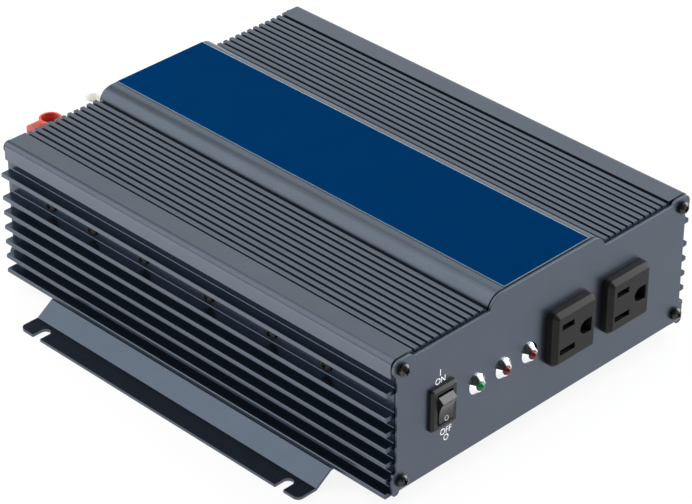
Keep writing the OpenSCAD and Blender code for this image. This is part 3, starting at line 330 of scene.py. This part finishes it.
def finish(name, colour, shade=0.85, metal=0.0, rough=0.5, relief=0.02, gloss=0.5):
    """A grained finish: colour drifts between colour and a darker shade of it."""
    made = bpy.data.materials.new(name)
    made.use_nodes = True
    tree = made.node_tree
    skin = tree.nodes["Principled BSDF"]
    skin.inputs["Metallic"].default_value = metal
    skin.inputs["Specular IOR Level"].default_value = gloss
    place = node(tree, "ShaderNodeTexCoord")
    drift = node(tree, "ShaderNodeTexNoise")
    drift.inputs["Scale"].default_value = DRIFT_SCALE
    drift.inputs["Detail"].default_value = DRIFT_DETAIL
    ramp = node(tree, "ShaderNodeValToRGB")
    dark, light = ramp.color_ramp.elements
    dark.position = DRIFT_FROM
    dark.color = (*[c * shade for c in colour], 1)
    light.position = DRIFT_TO
    light.color = (*colour, 1)
    fine = node(tree, "ShaderNodeTexNoise")
    fine.inputs["Scale"].default_value = GRAIN_SCALE
    fine.inputs["Detail"].default_value = GRAIN_DETAIL
    sheen = node(tree, "ShaderNodeMapRange")
    sheen.inputs["To Min"].default_value = max(rough - ROUGH_SPREAD, ROUGH_LEAST)
    sheen.inputs["To Max"].default_value = min(rough + ROUGH_SPREAD, 1)
    bump = node(tree, "ShaderNodeBump")
    bump.inputs["Strength"].default_value = GRAIN_STRENGTH
    bump.inputs["Distance"].default_value = relief * MM
    link(tree, place.outputs["Object"], drift.inputs["Vector"])
    link(tree, place.outputs["Object"], fine.inputs["Vector"])
    link(tree, drift.outputs["Fac"], ramp.inputs["Fac"])
    link(tree, ramp.outputs["Color"], skin.inputs["Base Color"])
    link(tree, fine.outputs["Fac"], sheen.inputs["Value"])
    link(tree, sheen.outputs["Result"], skin.inputs["Roughness"])
    link(tree, fine.outputs["Fac"], bump.inputs["Height"])
    link(tree, bump.outputs["Normal"], skin.inputs["Normal"])
    return made


print("grain of about", round(1 / GRAIN_SCALE / MM, 2), "mm")

# %% [markdown]
# The case, panels and base share a dark blue-grey coat over aluminium. It could be a dark paint
# under a clear coat, but the coat mirrors the room in its own colour. So it is modelled as a dark
# metal with a satin gloss: bright where it mirrors the room, nearly black where it can't. The front
# panel gets its coat later, on a copy with rounded edges.

# %% Dark coat on case, panels and base
CASE_COLOUR = (0.1025, 0.1215, 0.151)
# The base and the panels get slightly darker copies of the case colour: painted shade that tones down their
# reflections of the room
BASE_SHADED_COLOUR = (0.094, 0.116, 0.150)
PANEL_SHADED_COLOUR = (0.095, 0.114, 0.146)
SATIN = {"shade": 0.94, "metal": 0.92, "rough": 0.24, "relief": 0.004}
MATT = {"shade": 0.95, "metal": 0.92, "rough": 0.32, "relief": 0.006}


def dress(material, *names):
    """Gives solids of the frame their finish."""
    for name in names:
        slots = solids[name].data.materials
        slots.clear()
        slots.append(material)
    print(material.name, "on", ", ".join(names))


case_coat = finish("case_coat", CASE_COLOUR, **SATIN)
panel_coat = finish("panel_coat", PANEL_SHADED_COLOUR, **MATT)
base_coat = finish("base_coat", BASE_SHADED_COLOUR, **SATIN)
dress(case_coat, "housing")
dress(base_coat, "base_plate")
dress(panel_coat, "rear_panel")

# %% [markdown]
# Less light reaches the gaps between the fins than the open faces, so the coat gets painted shade
# there. A second material on some of the faces could hold that, but the solid's mesh stays as it is.
# So the painted shade is a mask in the finish: where x lies between the wall and a line just short
# of the fin tips, and z under the eave.

# %% A colour painted over part of a finish
# Sockets of a colour mix by number, because their names repeat
MIX_FACTOR = 0
MIX_BELOW = 6
MIX_ABOVE = 7
MIX_RESULT = 2


def close_to(tree, value, middle, half):
    """A mask that is 1 where a value is within half of middle."""
    near = node(tree, "ShaderNodeMath", operation="COMPARE")
    near.inputs[1].default_value = middle
    near.inputs[2].default_value = half
    link(tree, value, near.inputs[0])
    return near.outputs[0]


def paint_over(material, mask, colour, how):
    """Mixes or multiplies a colour into a finish where the mask is 1."""
    tree = material.node_tree
    skin = tree.nodes["Principled BSDF"].inputs["Base Color"]
    paint = node(tree, "ShaderNodeMix", data_type="RGBA", blend_type=how)
    paint.inputs[MIX_ABOVE].default_value = (*colour, 1)
    link(tree, mask, paint.inputs[MIX_FACTOR])
    link(tree, skin.links[0].from_socket, paint.inputs[MIX_BELOW])
    link(tree, paint.outputs[MIX_RESULT], skin)


print("helpers:", close_to.__name__, paint_over.__name__)

# %% Painted shade in the gaps between the fins
FIN_REACH = 5.8 * MM
TIPS_CLEAR = 0.8 * MM
EAVE_UNDERSIDE = 68.5 * MM
# Colour that multiplies the coat in the gaps between the fins: painted shade
GAP_SHADE_TINT = (0.60, 0.69, 0.77)
OVERLAP = 0.1 * MM
case_low, case_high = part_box("housing")
wall_x = case_high.x - FIN_REACH


def recess(material, inner, outer, top, tint):
    """Paints shade into a finish where the distance from the middle is between inner and outer, below top.
    """
    tree = material.node_tree
    side = node(tree, "ShaderNodeMath", operation="ABSOLUTE")
    link(tree, coordinate(tree, "X"), side.inputs[0])
    between = close_to(tree, side.outputs[0], (inner + outer) / 2, (outer - inner) / 2)
    under = node(tree, "ShaderNodeMath", operation="LESS_THAN")
    under.inputs[1].default_value = top
    link(tree, coordinate(tree, "Z"), under.inputs[0])
    both = node(tree, "ShaderNodeMath", operation="MULTIPLY")
    link(tree, between, both.inputs[0])
    link(tree, under.outputs[0], both.inputs[1])
    paint_over(material, both.outputs[0], tint, "MULTIPLY")


recess(case_coat, wall_x - OVERLAP, case_high.x - TIPS_CLEAR, EAVE_UNDERSIDE, GAP_SHADE_TINT)
print("wall at", round(wall_x / MM, 2), "mm, fin tips at", round(case_high.x / MM, 2), "mm")

# %% [markdown]
# The metal parts are bought ones: chromed lamp bezels and fan guard, zinc-plated screws and nuts,
# turned brass, and copper for what carries current. All are full metals that differ in colour and
# in how sharp their reflections are.

# %% Plated and bare metals
chrome = finish("chrome_plate", (0.9, 0.9, 0.91), 0.97, metal=1.0, rough=0.07, relief=0.001)
zinc = finish("zinc_plate", (0.6, 0.61, 0.63), 0.9, metal=1.0, rough=0.35)
brass = finish("turned_brass", (0.76, 0.57, 0.27), 0.88, metal=1.0, rough=0.3)
copper = finish("copper_wire", (0.72, 0.36, 0.2), 0.85, metal=1.0, rough=0.35)
dress(chrome, "lamp_bezels", "fan_guard")
dress(zinc, "switch_tabs", "clamp_screw_positive", "clamp_screw_negative", "ground_stud", "ground_nut",
      "fan_screws", "fan_nuts", "board_screws", "transistor_nuts")
dress(brass, "contacts_left", "contacts_right", "terminal_sleeves", "terminal_nuts", "board_standoffs")
dress(copper, "busbars", "fan_motor", "choke_winding", "transformer_windings")

# %% [markdown]
# The fan is of dark plastic. The parts inside the case don't show from outside, but a library part
# may be shown with its case open. So they get finishes too: solder mask, sintered ferrite, shrink
# sleeve, fuse plastic and thermal rubber. The transistors share the fan's plastic.

# %% Fan and the parts inside
fan_plastic = finish("fan_plastic", (0.040, 0.040, 0.043), 0.8, rough=0.4)
board_mask = finish("board_mask", (0.02, 0.13, 0.05), 0.8, rough=0.4)
ferrite = finish("sintered_ferrite", (0.05, 0.05, 0.055), 0.8, rough=0.7)
can_sleeve = finish("capacitor_sleeve", (0.012, 0.02, 0.07), 0.8, rough=0.35)
fuse_plastic = finish("fuse_plastic", (0.7, 0.2, 0.03), 0.9, rough=0.3)
pad_rubber = finish("pad_rubber", (0.36, 0.38, 0.36), 0.9, rough=0.8)
dress(fan_plastic, "fan_frame", "fan_rotor", "transistors")
dress(board_mask, "main_board", "control_board")
dress(ferrite, "transformer_cores", "choke_core")
dress(can_sleeve, "bus_capacitors", "input_capacitors")
dress(fuse_plastic, "input_fuses")
dress(pad_rubber, "thermal_pads")

# %% [markdown]
# The lamps are domes of coloured resin, and they are off. Clear glass over a dark core would be
# closer to the real thing, but at this size a deep colour with a sharp gloss looks the same.

# %% Lamp lenses
green_lens = finish("green_lens", (0.0, 0.13, 0.045), 0.8, rough=0.1, relief=0.001)
red_lens = finish("red_lens", (0.12, 0.003, 0.006), 0.8, rough=0.1, relief=0.001)
dress(green_lens, "lamp_power")
dress(red_lens, "lamp_overload", "lamp_overheat")

# %% [markdown]
# The switch and outlets are black plastics of different gloss. The two terminals are of a plastic
# that lets some light in: it wanders a few millimetres and comes out again, which keeps their deep
# cups from going black. A brighter colour would lift the cups as well, but it would bleach the
# outside, so subsurface scattering does it.

# %% Moulded plastics
SCATTER_SHARE = 0.7
SCATTER_DEPTH = 4 * MM
RED_SPREAD = (1.0, 0.25, 0.15)
PALE_SPREAD = (1.0, 0.95, 0.85)
switch_plastic = finish("switch_plastic", (0.008, 0.008, 0.009), 0.8, rough=0.4, relief=0.006, gloss=0.3)
rocker_plastic = finish("rocker_plastic", (0.010, 0.010, 0.010), 0.8, rough=0.24, relief=0.004, gloss=0.45)
outlet_plastic = finish("outlet_plastic", (0.0085, 0.0072, 0.0068), 0.85, rough=0.5, gloss=0.25)
red_plastic = finish("red_plastic", (0.42, 0.070, 0.052), 0.85, rough=0.35, relief=0.006)
pale_plastic = finish("pale_plastic", (0.84, 0.82, 0.76), 0.96, rough=0.35, relief=0.006)
for plastic, spread in ((red_plastic, RED_SPREAD), (pale_plastic, PALE_SPREAD)):
    skin = plastic.node_tree.nodes["Principled BSDF"].inputs
    skin["Subsurface Weight"].default_value = SCATTER_SHARE
    skin["Subsurface Radius"].default_value = spread
    skin["Subsurface Scale"].default_value = SCATTER_DEPTH
    print(plastic.name, "lets light in", round(SCATTER_DEPTH / MM, 1), "mm")

# %% [markdown]
# The moulded pieces have soft edges in real life, because a mould can't hold a knife edge. We
# take a copy of the solid's mesh, weld its seams, merge the triangles of each flat face into one
# face, and let a bevel modifier round every sharp edge. The copy then stands for the solid. The
# front panel is a punched sheet, and its edges are broken in the same way.

# %% Helpers for pieces
def settle(piece):
    """Turns a piece's modifiers into plain mesh."""
    settled = bpy.data.meshes.new_from_object(piece.evaluated_get(bpy.context.evaluated_depsgraph_get()))
    piece.modifiers.clear()
    piece.data = settled
    return piece


def as_mesh(work, name):
    """Writes a bmesh into a new mesh."""
    mesh = bpy.data.meshes.new(name)
    work.to_mesh(mesh)
    work.free()
    return mesh


def show(name, mesh, material, slot, body, stands_for=()):
    """Puts a mesh on a body of the frame, in place of the solids that it stands for."""
    mesh.materials.clear()
    mesh.materials.append(material)
    piece = bpy.data.objects.new(name, mesh)
    scene.collection.objects.link(piece)
    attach(piece, body)
    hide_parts(*stands_for)
    return piece


print("helpers:", settle.__name__, as_mesh.__name__, show.__name__)

# %% Rounded copies of the moulded pieces
WELD = 0.002 * MM
FLAT = math.radians(0.5)
SHARP = math.radians(32)
BEVEL_STEPS = 3


def clean_copy(name):
    """The solid's mesh as a bmesh with welded seams and whole flat faces."""
    work = bmesh.new()
    work.from_mesh(solids[name].data)
    bmesh.ops.remove_doubles(work, verts=work.verts, dist=WELD)
    bmesh.ops.dissolve_limit(work, angle_limit=FLAT, verts=work.verts, edges=work.edges)
    return work


def rounded(name, radius, material, slot, body):
    """A copy of a solid with its sharp edges rounded."""
    mesh = as_mesh(clean_copy(name), name + "_rounded")
    if "custom_normal" in mesh.attributes:
        mesh.attributes.remove(mesh.attributes["custom_normal"])
    mesh.shade_smooth()
    mesh.set_sharp_from_angle(angle=SHARP)
    piece = show(name + "_rounded", mesh, material, slot, body, (name,))
    bevel = piece.modifiers.new("soft_edges", "BEVEL")
    bevel.width = radius
    bevel.segments = BEVEL_STEPS
    bevel.limit_method = "ANGLE"
    bevel.angle_limit = SHARP
    bevel.harden_normals = True
    return settle(piece)


# Edge radius in millimetres, finish, slot and body of each piece
EDGES = {
    "front_panel": (0.45, panel_coat, "panel_paint", "case"),
    "outlet_left": (0.30, outlet_plastic, "outlet_grey", "case"),
    "outlet_right": (0.30, outlet_plastic, "outlet_grey", "case"),
    "switch_housing": (0.25, switch_plastic, "switch_black", "case"),
    "switch_rocker": (0.25, rocker_plastic, "rocker_black", "rocker"),
    "terminal_positive": (0.5, red_plastic, "terminal_red", "case"),
    "terminal_negative": (0.5, pale_plastic, "terminal_pale", "case"),
}
for name, (radius, material, slot, body) in EDGES.items():
    piece = rounded(name, radius * MM, material, slot, body)
    print(piece.name, len(piece.data.polygons), "faces")

# %% [markdown]
# The fins of an extruded case meet its walls in small fillets, because the metal can't flow into a
# sharp inner corner. They catch a thin line of light along each fin. A bevel on a copy of the whole
# case would round many other edges as well. So each corner gets a strip of its own: a section with
# one round side, drawn out from end to end and sunk a little into wall and fin.

# %% Section of a fillet strip
FILLET_R = 0.55 * MM
FILLET_STEPS = 6


def fillet_section(side, corner_z, up):
    """Section of a fillet in the corner of wall and fin, as (x, z) points."""
    middle_x = wall_x + FILLET_R
    middle_z = corner_z + up * FILLET_R
    sunk_x = wall_x - OVERLAP
    sunk_z = corner_z - up * OVERLAP
    points = [(sunk_x, sunk_z), (middle_x, sunk_z)]
    for i in range(FILLET_STEPS + 1):
        angle = math.pi / 2 * i / FILLET_STEPS
        points.append((middle_x - FILLET_R * math.sin(angle), middle_z - up * FILLET_R * math.cos(angle)))
    points.append((sunk_x, middle_z))
    return [(side * x, z) for x, z in points]


print("points in a section:", len(fillet_section(1, 0, 1)))

# %% Fillet strips at the fin roots
FIN_T = 2.4 * MM
FIN_PITCH = 8 * MM
FIN_COUNT = 6
UPPER_FIN_GAP = 12.5 * MM
fin_places = [case_low.z + FIN_T / 2 + FIN_PITCH * i for i in range(FIN_COUNT)]
fin_places.append(fin_places[-1] + UPPER_FIN_GAP)
corners = [(z + up * FIN_T / 2, up) for z in fin_places for up in (-1, 1)]
# The lowest corner has no wall below it
corners = corners[1:]

strips = bmesh.new()
for side in (-1, 1):
    for corner_z, up in corners:
        section = fillet_section(side, corner_z, up)
        rings = [[strips.verts.new((x, y, z)) for x, z in section] for y in (case_low.y, case_high.y)]
        for i in range(len(section)):
            j = (i + 1) % len(section)
            strips.faces.new((rings[0][i], rings[0][j], rings[1][j], rings[1][i]))
        for ring in rings:
            strips.faces.new(ring)
bmesh.ops.recalc_face_normals(strips, faces=strips.faces)
strip_mesh = as_mesh(strips, "fin_roots")
strip_mesh.shade_smooth()
strip_mesh.set_sharp_from_angle(angle=SHARP)
show("fin_roots", strip_mesh, base_coat, "case_paint", "case")
print("fillet strips:", 2 * len(corners))

# %% [markdown]
# The label is a thin film with square corners that runs from one end of the case to the other. Its
# edges carry a painted highlight, stronger on the right, and the joint behind the front panel gets
# painted shade. Separate thin strips could show both, but they would lie in the very faces that they
# mark. So both are stripes in a finish: wherever an object coordinate lies close to a given value,
# another colour is mixed in.

# %% Label film
LABEL_COLOUR = (0.0003, 0.0225, 0.081)
LABEL_END = 0.15 * MM
LABEL_EDGE = 0.4 * MM
# Painted highlights along the label's edges, stronger along the right edge
EDGE_PAINTED_HIGHLIGHT = (0.14, 0.18, 0.22)
EDGE_STRONG_HIGHLIGHT = (0.24, 0.29, 0.33)


def stripe(material, axis, middle, half, colour):
    """Paints a stripe across a finish, where the coordinate along an axis is within half of middle."""
    tree = material.node_tree
    paint_over(material, close_to(tree, coordinate(tree, axis), middle, half), colour, "MIX")


def block(name, low, high):
    """A box mesh between two corners."""
    made = bmesh.new()
    bmesh.ops.create_cube(made, size=1.0, matrix=Matrix.Translation((low + high) / 2)
                          @ Matrix.Diagonal((*(high - low), 1)))
    return as_mesh(made, name)


label_film = finish("label_film", LABEL_COLOUR, 0.94, rough=0.5, relief=0.002, gloss=0.0)
low, high = (corner.copy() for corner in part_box("label_plate"))
low.y = case_low.y + LABEL_END
high.y = case_high.y - LABEL_END
for axis, middle, colour in (("Y", low.y, EDGE_PAINTED_HIGHLIGHT), ("X", low.x, EDGE_PAINTED_HIGHLIGHT), ("X", high.x, EDGE_STRONG_HIGHLIGHT)):
    stripe(label_film, axis, middle, LABEL_EDGE, colour)
show("label_sheet", block("label_sheet", low, high), label_film, "label_blue", "case", ("label_plate",))
print("label", [round(v / MM, 1) for v in high - low], "mm")

# %% Painted shade in the joint behind the front panel
JOINT = 0.85 * MM
# Painted shade along the edge of the panel where it meets the case
JOINT_PAINTED_SHADE = (0.006, 0.007, 0.010)
joint_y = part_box("front_panel")[1].y
stripe(panel_coat, "Y", joint_y, JOINT, JOINT_PAINTED_SHADE)
print("joint at", round(joint_y / MM, 2), "mm")

# %% [markdown]
# Every screw on the outside has a domed head with a cross recess. The head is a profile turned
# round the axis, and the recess is a tapered cross taken away with a boolean. One mesh serves all
# the screws of a node; each copy gets its own turn, as screws end up where they were tightened.

# %% A turned profile
TURN_STEPS = 48


def turned(profile):
    """Turns (radius, height) points round Z. A radius of nought closes the end."""
    made = bmesh.new()
    rings = []
    for radius, height in profile:
        count = TURN_STEPS if radius > 0 else 1
        angles = [math.tau * i / TURN_STEPS for i in range(count)]
        rings.append([made.verts.new((radius * math.cos(a), radius * math.sin(a), height)) for a in angles])
    for low, high in zip(rings, rings[1:]):
        for i in range(TURN_STEPS):
            j = (i + 1) % TURN_STEPS
            corners = [low[i % len(low)], low[j % len(low)], high[j % len(high)], high[i % len(high)]]
            made.faces.new(list(dict.fromkeys(corners)))
    bmesh.ops.recalc_face_normals(made, faces=made.faces)
    return made


print("steps round a screw:", TURN_STEPS)

# %% A tapered cross
CROSS_FLOOR_REACH = 0.45
CROSS_FLOOR_WIDTH = 0.75
QUARTERS = 4


def cross_cutter(reach, half, top, floor_z):
    """A cross that narrows downward: reach is the arm's length at the top and half its half width."""
    made = bmesh.new()
    rings = []
    mouth = (top, reach, half)
    floor_end = (floor_z, reach * CROSS_FLOOR_REACH, half * CROSS_FLOOR_WIDTH)
    for z, length, side in (mouth, floor_end):
        arm = [(side, length), (-side, length), (-side, side)]
        ring = []
        for quarter in range(QUARTERS):
            spin = Matrix.Rotation(math.tau * quarter / QUARTERS, 2)
            ring += [made.verts.new((*(spin @ Vector(p)), z)) for p in arm]
        rings.append(ring)
    count = len(rings[0])
    for i in range(count):
        j = (i + 1) % count
        made.faces.new((rings[0][i], rings[0][j], rings[1][j], rings[1][i]))
    made.faces.new(rings[0])
    made.faces.new(reversed(rings[1]))
    bmesh.ops.recalc_face_normals(made, faces=made.faces)
    return made


print("a cross keeps", CROSS_FLOOR_REACH, "of its reach at its floor")

# %% A screw with a cross recess
DOME_SHARE = 0.5
DOME_STEPS = 8
LIP_SHARE = 0.08
CROSS_REACH = 0.66
CROSS_HALF = 0.17
CROSS_TOP = 1.3
CROSS_FLOOR = 0.45
SCREW_SHARP = math.radians(35)


def screw_profile(head_r, head_h, shank_r, shank_l):
    """Points of a screw from the tip of its shank to the crown of its dome."""
    rise = head_h * DOME_SHARE
    dome_r = (head_r ** 2 + rise ** 2) / (2 * rise)
    edge = math.asin(head_r / dome_r)
    lip = LIP_SHARE * head_r
    profile = [(0, -shank_l), (shank_r, -shank_l), (shank_r, 0), (head_r - lip, 0), (head_r, lip)]
    for i in range(DOME_STEPS):
        angle = edge * (1 - i / DOME_STEPS)
        profile.append((dome_r * math.sin(angle), head_h - dome_r * (1 - math.cos(angle))))
    return profile + [(0, head_h)]


def screw_mesh(name, head_r, head_h, shank_r, shank_l):
    """A domed cross-head screw on Z with the underside of its head at nought."""
    body = bpy.data.objects.new(name, as_mesh(turned(screw_profile(head_r, head_h, shank_r, shank_l)), name))
    cross = cross_cutter(CROSS_REACH * head_r, CROSS_HALF * head_r, CROSS_TOP * head_h, CROSS_FLOOR * head_h)
    cutter = bpy.data.objects.new(name + "_cutter", as_mesh(cross, name + "_cutter"))
    for item in (body, cutter):
        scene.collection.objects.link(item)
    cut = body.modifiers.new("recess", "BOOLEAN")
    cut.operation = "DIFFERENCE"
    cut.object = cutter
    cut.solver = "EXACT"
    settle(body)
    mesh = body.data
    for item in (body, cutter):
        bpy.data.objects.remove(item)
    mesh.shade_smooth()
    mesh.set_sharp_from_angle(angle=SCREW_SHARP)
    return mesh


print("dome over", DOME_SHARE, "of the head's height")

# %% [markdown]
# A node may hold several equal solids, such as four screws. To put a dressed screw over each one
# we need their places, so we walk from vertex to vertex and collect the box of each solid.

# %% Boxes of the separate solids
SORT_DIGITS = 5


def solid_boxes(name):
    """Lowest and highest corner of each separate solid in a node."""
    work = clean_copy(name)
    waiting = dict.fromkeys(work.verts)
    boxes = []
    while waiting:
        front = [waiting.popitem()[0]]
        points = []
        while front:
            vert = front.pop()
            points.append(vert.co.copy())
            for edge in vert.link_edges:
                other = edge.other_vert(vert)
                if other in waiting:
                    del waiting[other]
                    front.append(other)
        boxes.append([Vector([pick(p[k] for p in points) for k in range(3)]) for pick in (min, max)])
    work.free()
    return sorted(boxes, key=lambda box: tuple(round(v, SORT_DIGITS) for v in box[0]))


print("side screws on the left:", len(solid_boxes("side_screws_left")))

# %% [markdown]
# The panel screws are black and glossy. Those on the sides and under the base are duller, and
# hardly catch the light. Two finishes with different gloss tell them apart.

# %% Screws on every outer face
FIRST_TURN = 0.35
NEXT_TURN = 0.9
PANEL_HEAD = 3.1 * MM
PANEL_SHANK = 1.5 * MM
SIDE_HEAD = 2.2 * MM
BASE_HEAD = 1.9 * MM
SMALL_SHANK = 1.75 * MM
black_steel = finish("black_steel", (0.010, 0.010, 0.011), 0.7, rough=0.22, relief=0.004)
dull_steel = finish("dull_steel", (0.005, 0.005, 0.006), 0.7, rough=0.5, relief=0.004, gloss=0.25)


def screws_on(name, axis, head_h, shank_r, material):
    """Dresses every screw of a node. The axis points out of the head."""
    axis = Vector(axis)
    boxes = solid_boxes(name)
    size = boxes[0][1] - boxes[0][0]
    length = abs(size.dot(axis))
    head_r = max(size[k] for k in range(3) if abs(axis[k]) < 0.5) / 2
    screw = screw_mesh(name + "_one", head_r, head_h, shank_r, length - head_h)
    upright = Vector((0, 0, 1)).rotation_difference(axis).to_matrix().to_4x4()
    joined = bmesh.new()
    for i, (low, high) in enumerate(boxes):
        foot = (low + high) / 2 + axis * (length / 2 - head_h)
        copy = screw.copy()
        spin = Matrix.Rotation(FIRST_TURN + NEXT_TURN * i, 4, "Z")
        copy.transform(Matrix.Translation(foot) @ upright @ spin)
        joined.from_mesh(copy)
        bpy.data.meshes.remove(copy)
    mesh = as_mesh(joined, name + "_crossed")
    show(name + "_crossed", mesh, material, "black_screw", "case", (name,))
    print(name, len(boxes), "screws, head radius", round(head_r / MM, 2), "mm")


screws_on("front_panel_screws", (0, -1, 0), PANEL_HEAD, PANEL_SHANK, black_steel)
screws_on("rear_panel_screws", (0, 1, 0), PANEL_HEAD, PANEL_SHANK, black_steel)
screws_on("side_screws_left", (-1, 0, 0), SIDE_HEAD, SMALL_SHANK, dull_steel)
screws_on("side_screws_right", (1, 0, 0), SIDE_HEAD, SMALL_SHANK, dull_steel)
screws_on("base_screws", (0, 0, -1), BASE_HEAD, SMALL_SHANK, dull_steel)

# %% [markdown]
# The switch is marked in white: a line and ON above it, OFF and a ring below it. A grey ring is on
# the rocker itself. On the real panel the ink is a few hundredths of a millimetre thick, so each
# mark is a letter outline with that much depth. A colour mask in the coat could print them too, but
# letters are hard to write as formulas, and Blender's own font has them.

# %% Printed marks on the panel
INK = 0.03 * MM
CAP_HEIGHT = 3.2 * MM
LETTER_DEPTH = 0.01
STROKE_GAIN = 0.002
LETTER_NARROW = 0.9
FACING_FRONT = Matrix.Rotation(math.pi / 2, 4, "X")
white_print = finish("white_print", (0.9, 0.9, 0.9), 0.95, rough=0.6, relief=0.002)
panel_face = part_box("front_panel")[0].y


def lettering(name, words, height):
    """A mesh of the words with the given height, lying in XY round the origin, as thick as the ink."""
    line = bpy.data.curves.new(name, "FONT")
    line.body = words
    line.extrude = LETTER_DEPTH
    line.offset = STROKE_GAIN
    holder = bpy.data.objects.new(name, line)
    scene.collection.objects.link(holder)
    mesh = bpy.data.meshes.new_from_object(holder.evaluated_get(bpy.context.evaluated_depsgraph_get()))
    bpy.data.objects.remove(holder)
    low, high = (Vector([pick(v.co[k] for v in mesh.vertices) for k in range(3)]) for pick in (min, max))
    size = high - low
    scale = height / size.y
    mesh.transform(Matrix.Diagonal((scale * LETTER_NARROW, scale, INK / size.z, 1))
                   @ Matrix.Translation((low + high) / -2))
    return mesh


# Words and the place of their middle, across and up, in millimetres
MARKS = {
    "mark_line": ("I", -67.2, 59.4),
    "mark_on": ("ON", -67.1, 55.4),
    "mark_off": ("OFF", -63.0, 27.4),
    "mark_ring": ("O", -62.8, 23.6),
}
for name, (words, x, z) in MARKS.items():
    mesh = lettering(name, words, CAP_HEIGHT)
    mesh.transform(Matrix.Translation((x * MM, panel_face - INK / 2, z * MM)) @ FACING_FRONT)
    show(name, mesh, white_print, "panel_paint", "case")
print("marks on the panel:", len(MARKS))

# %% [markdown]
# The ring on the rocker follows its dished face. A shrinkwrap modifier could pull it there, but the
# ink needs its thickness. So a ray shot at the rocker from each of the ring's points finds the
# surface, and the outer points stand off from it by the ink.

# %% Ring on the rocker
RING_X = -66.0 * MM
RING_Z = 36.9 * MM
RING_HEIGHT = 2.6 * MM
RAY_FROM_Y = -1.0
grey_print = finish("grey_print", (0.40, 0.40, 0.40), 0.95, rough=0.6, relief=0.002)
rocker_mesh = solids["switch_rocker"].data
rocker_tree = BVHTree.FromPolygons([v.co for v in rocker_mesh.vertices],
                                   [p.vertices for p in rocker_mesh.polygons])
ring = lettering("rocker_ring", "O", RING_HEIGHT)
ring.transform(Matrix.Translation((RING_X, 0, RING_Z)) @ FACING_FRONT)
for vert in ring.vertices:
    hit, _, _, _ = rocker_tree.ray_cast(Vector((vert.co.x, RAY_FROM_Y, vert.co.z)), Vector((0, 1, 0)))
    vert.co.y = hit.y - (INK if vert.co.y < 0 else 0)
show("rocker_ring", ring, grey_print, "rocker_black", "rocker")
print("ring points:", len(ring.vertices))
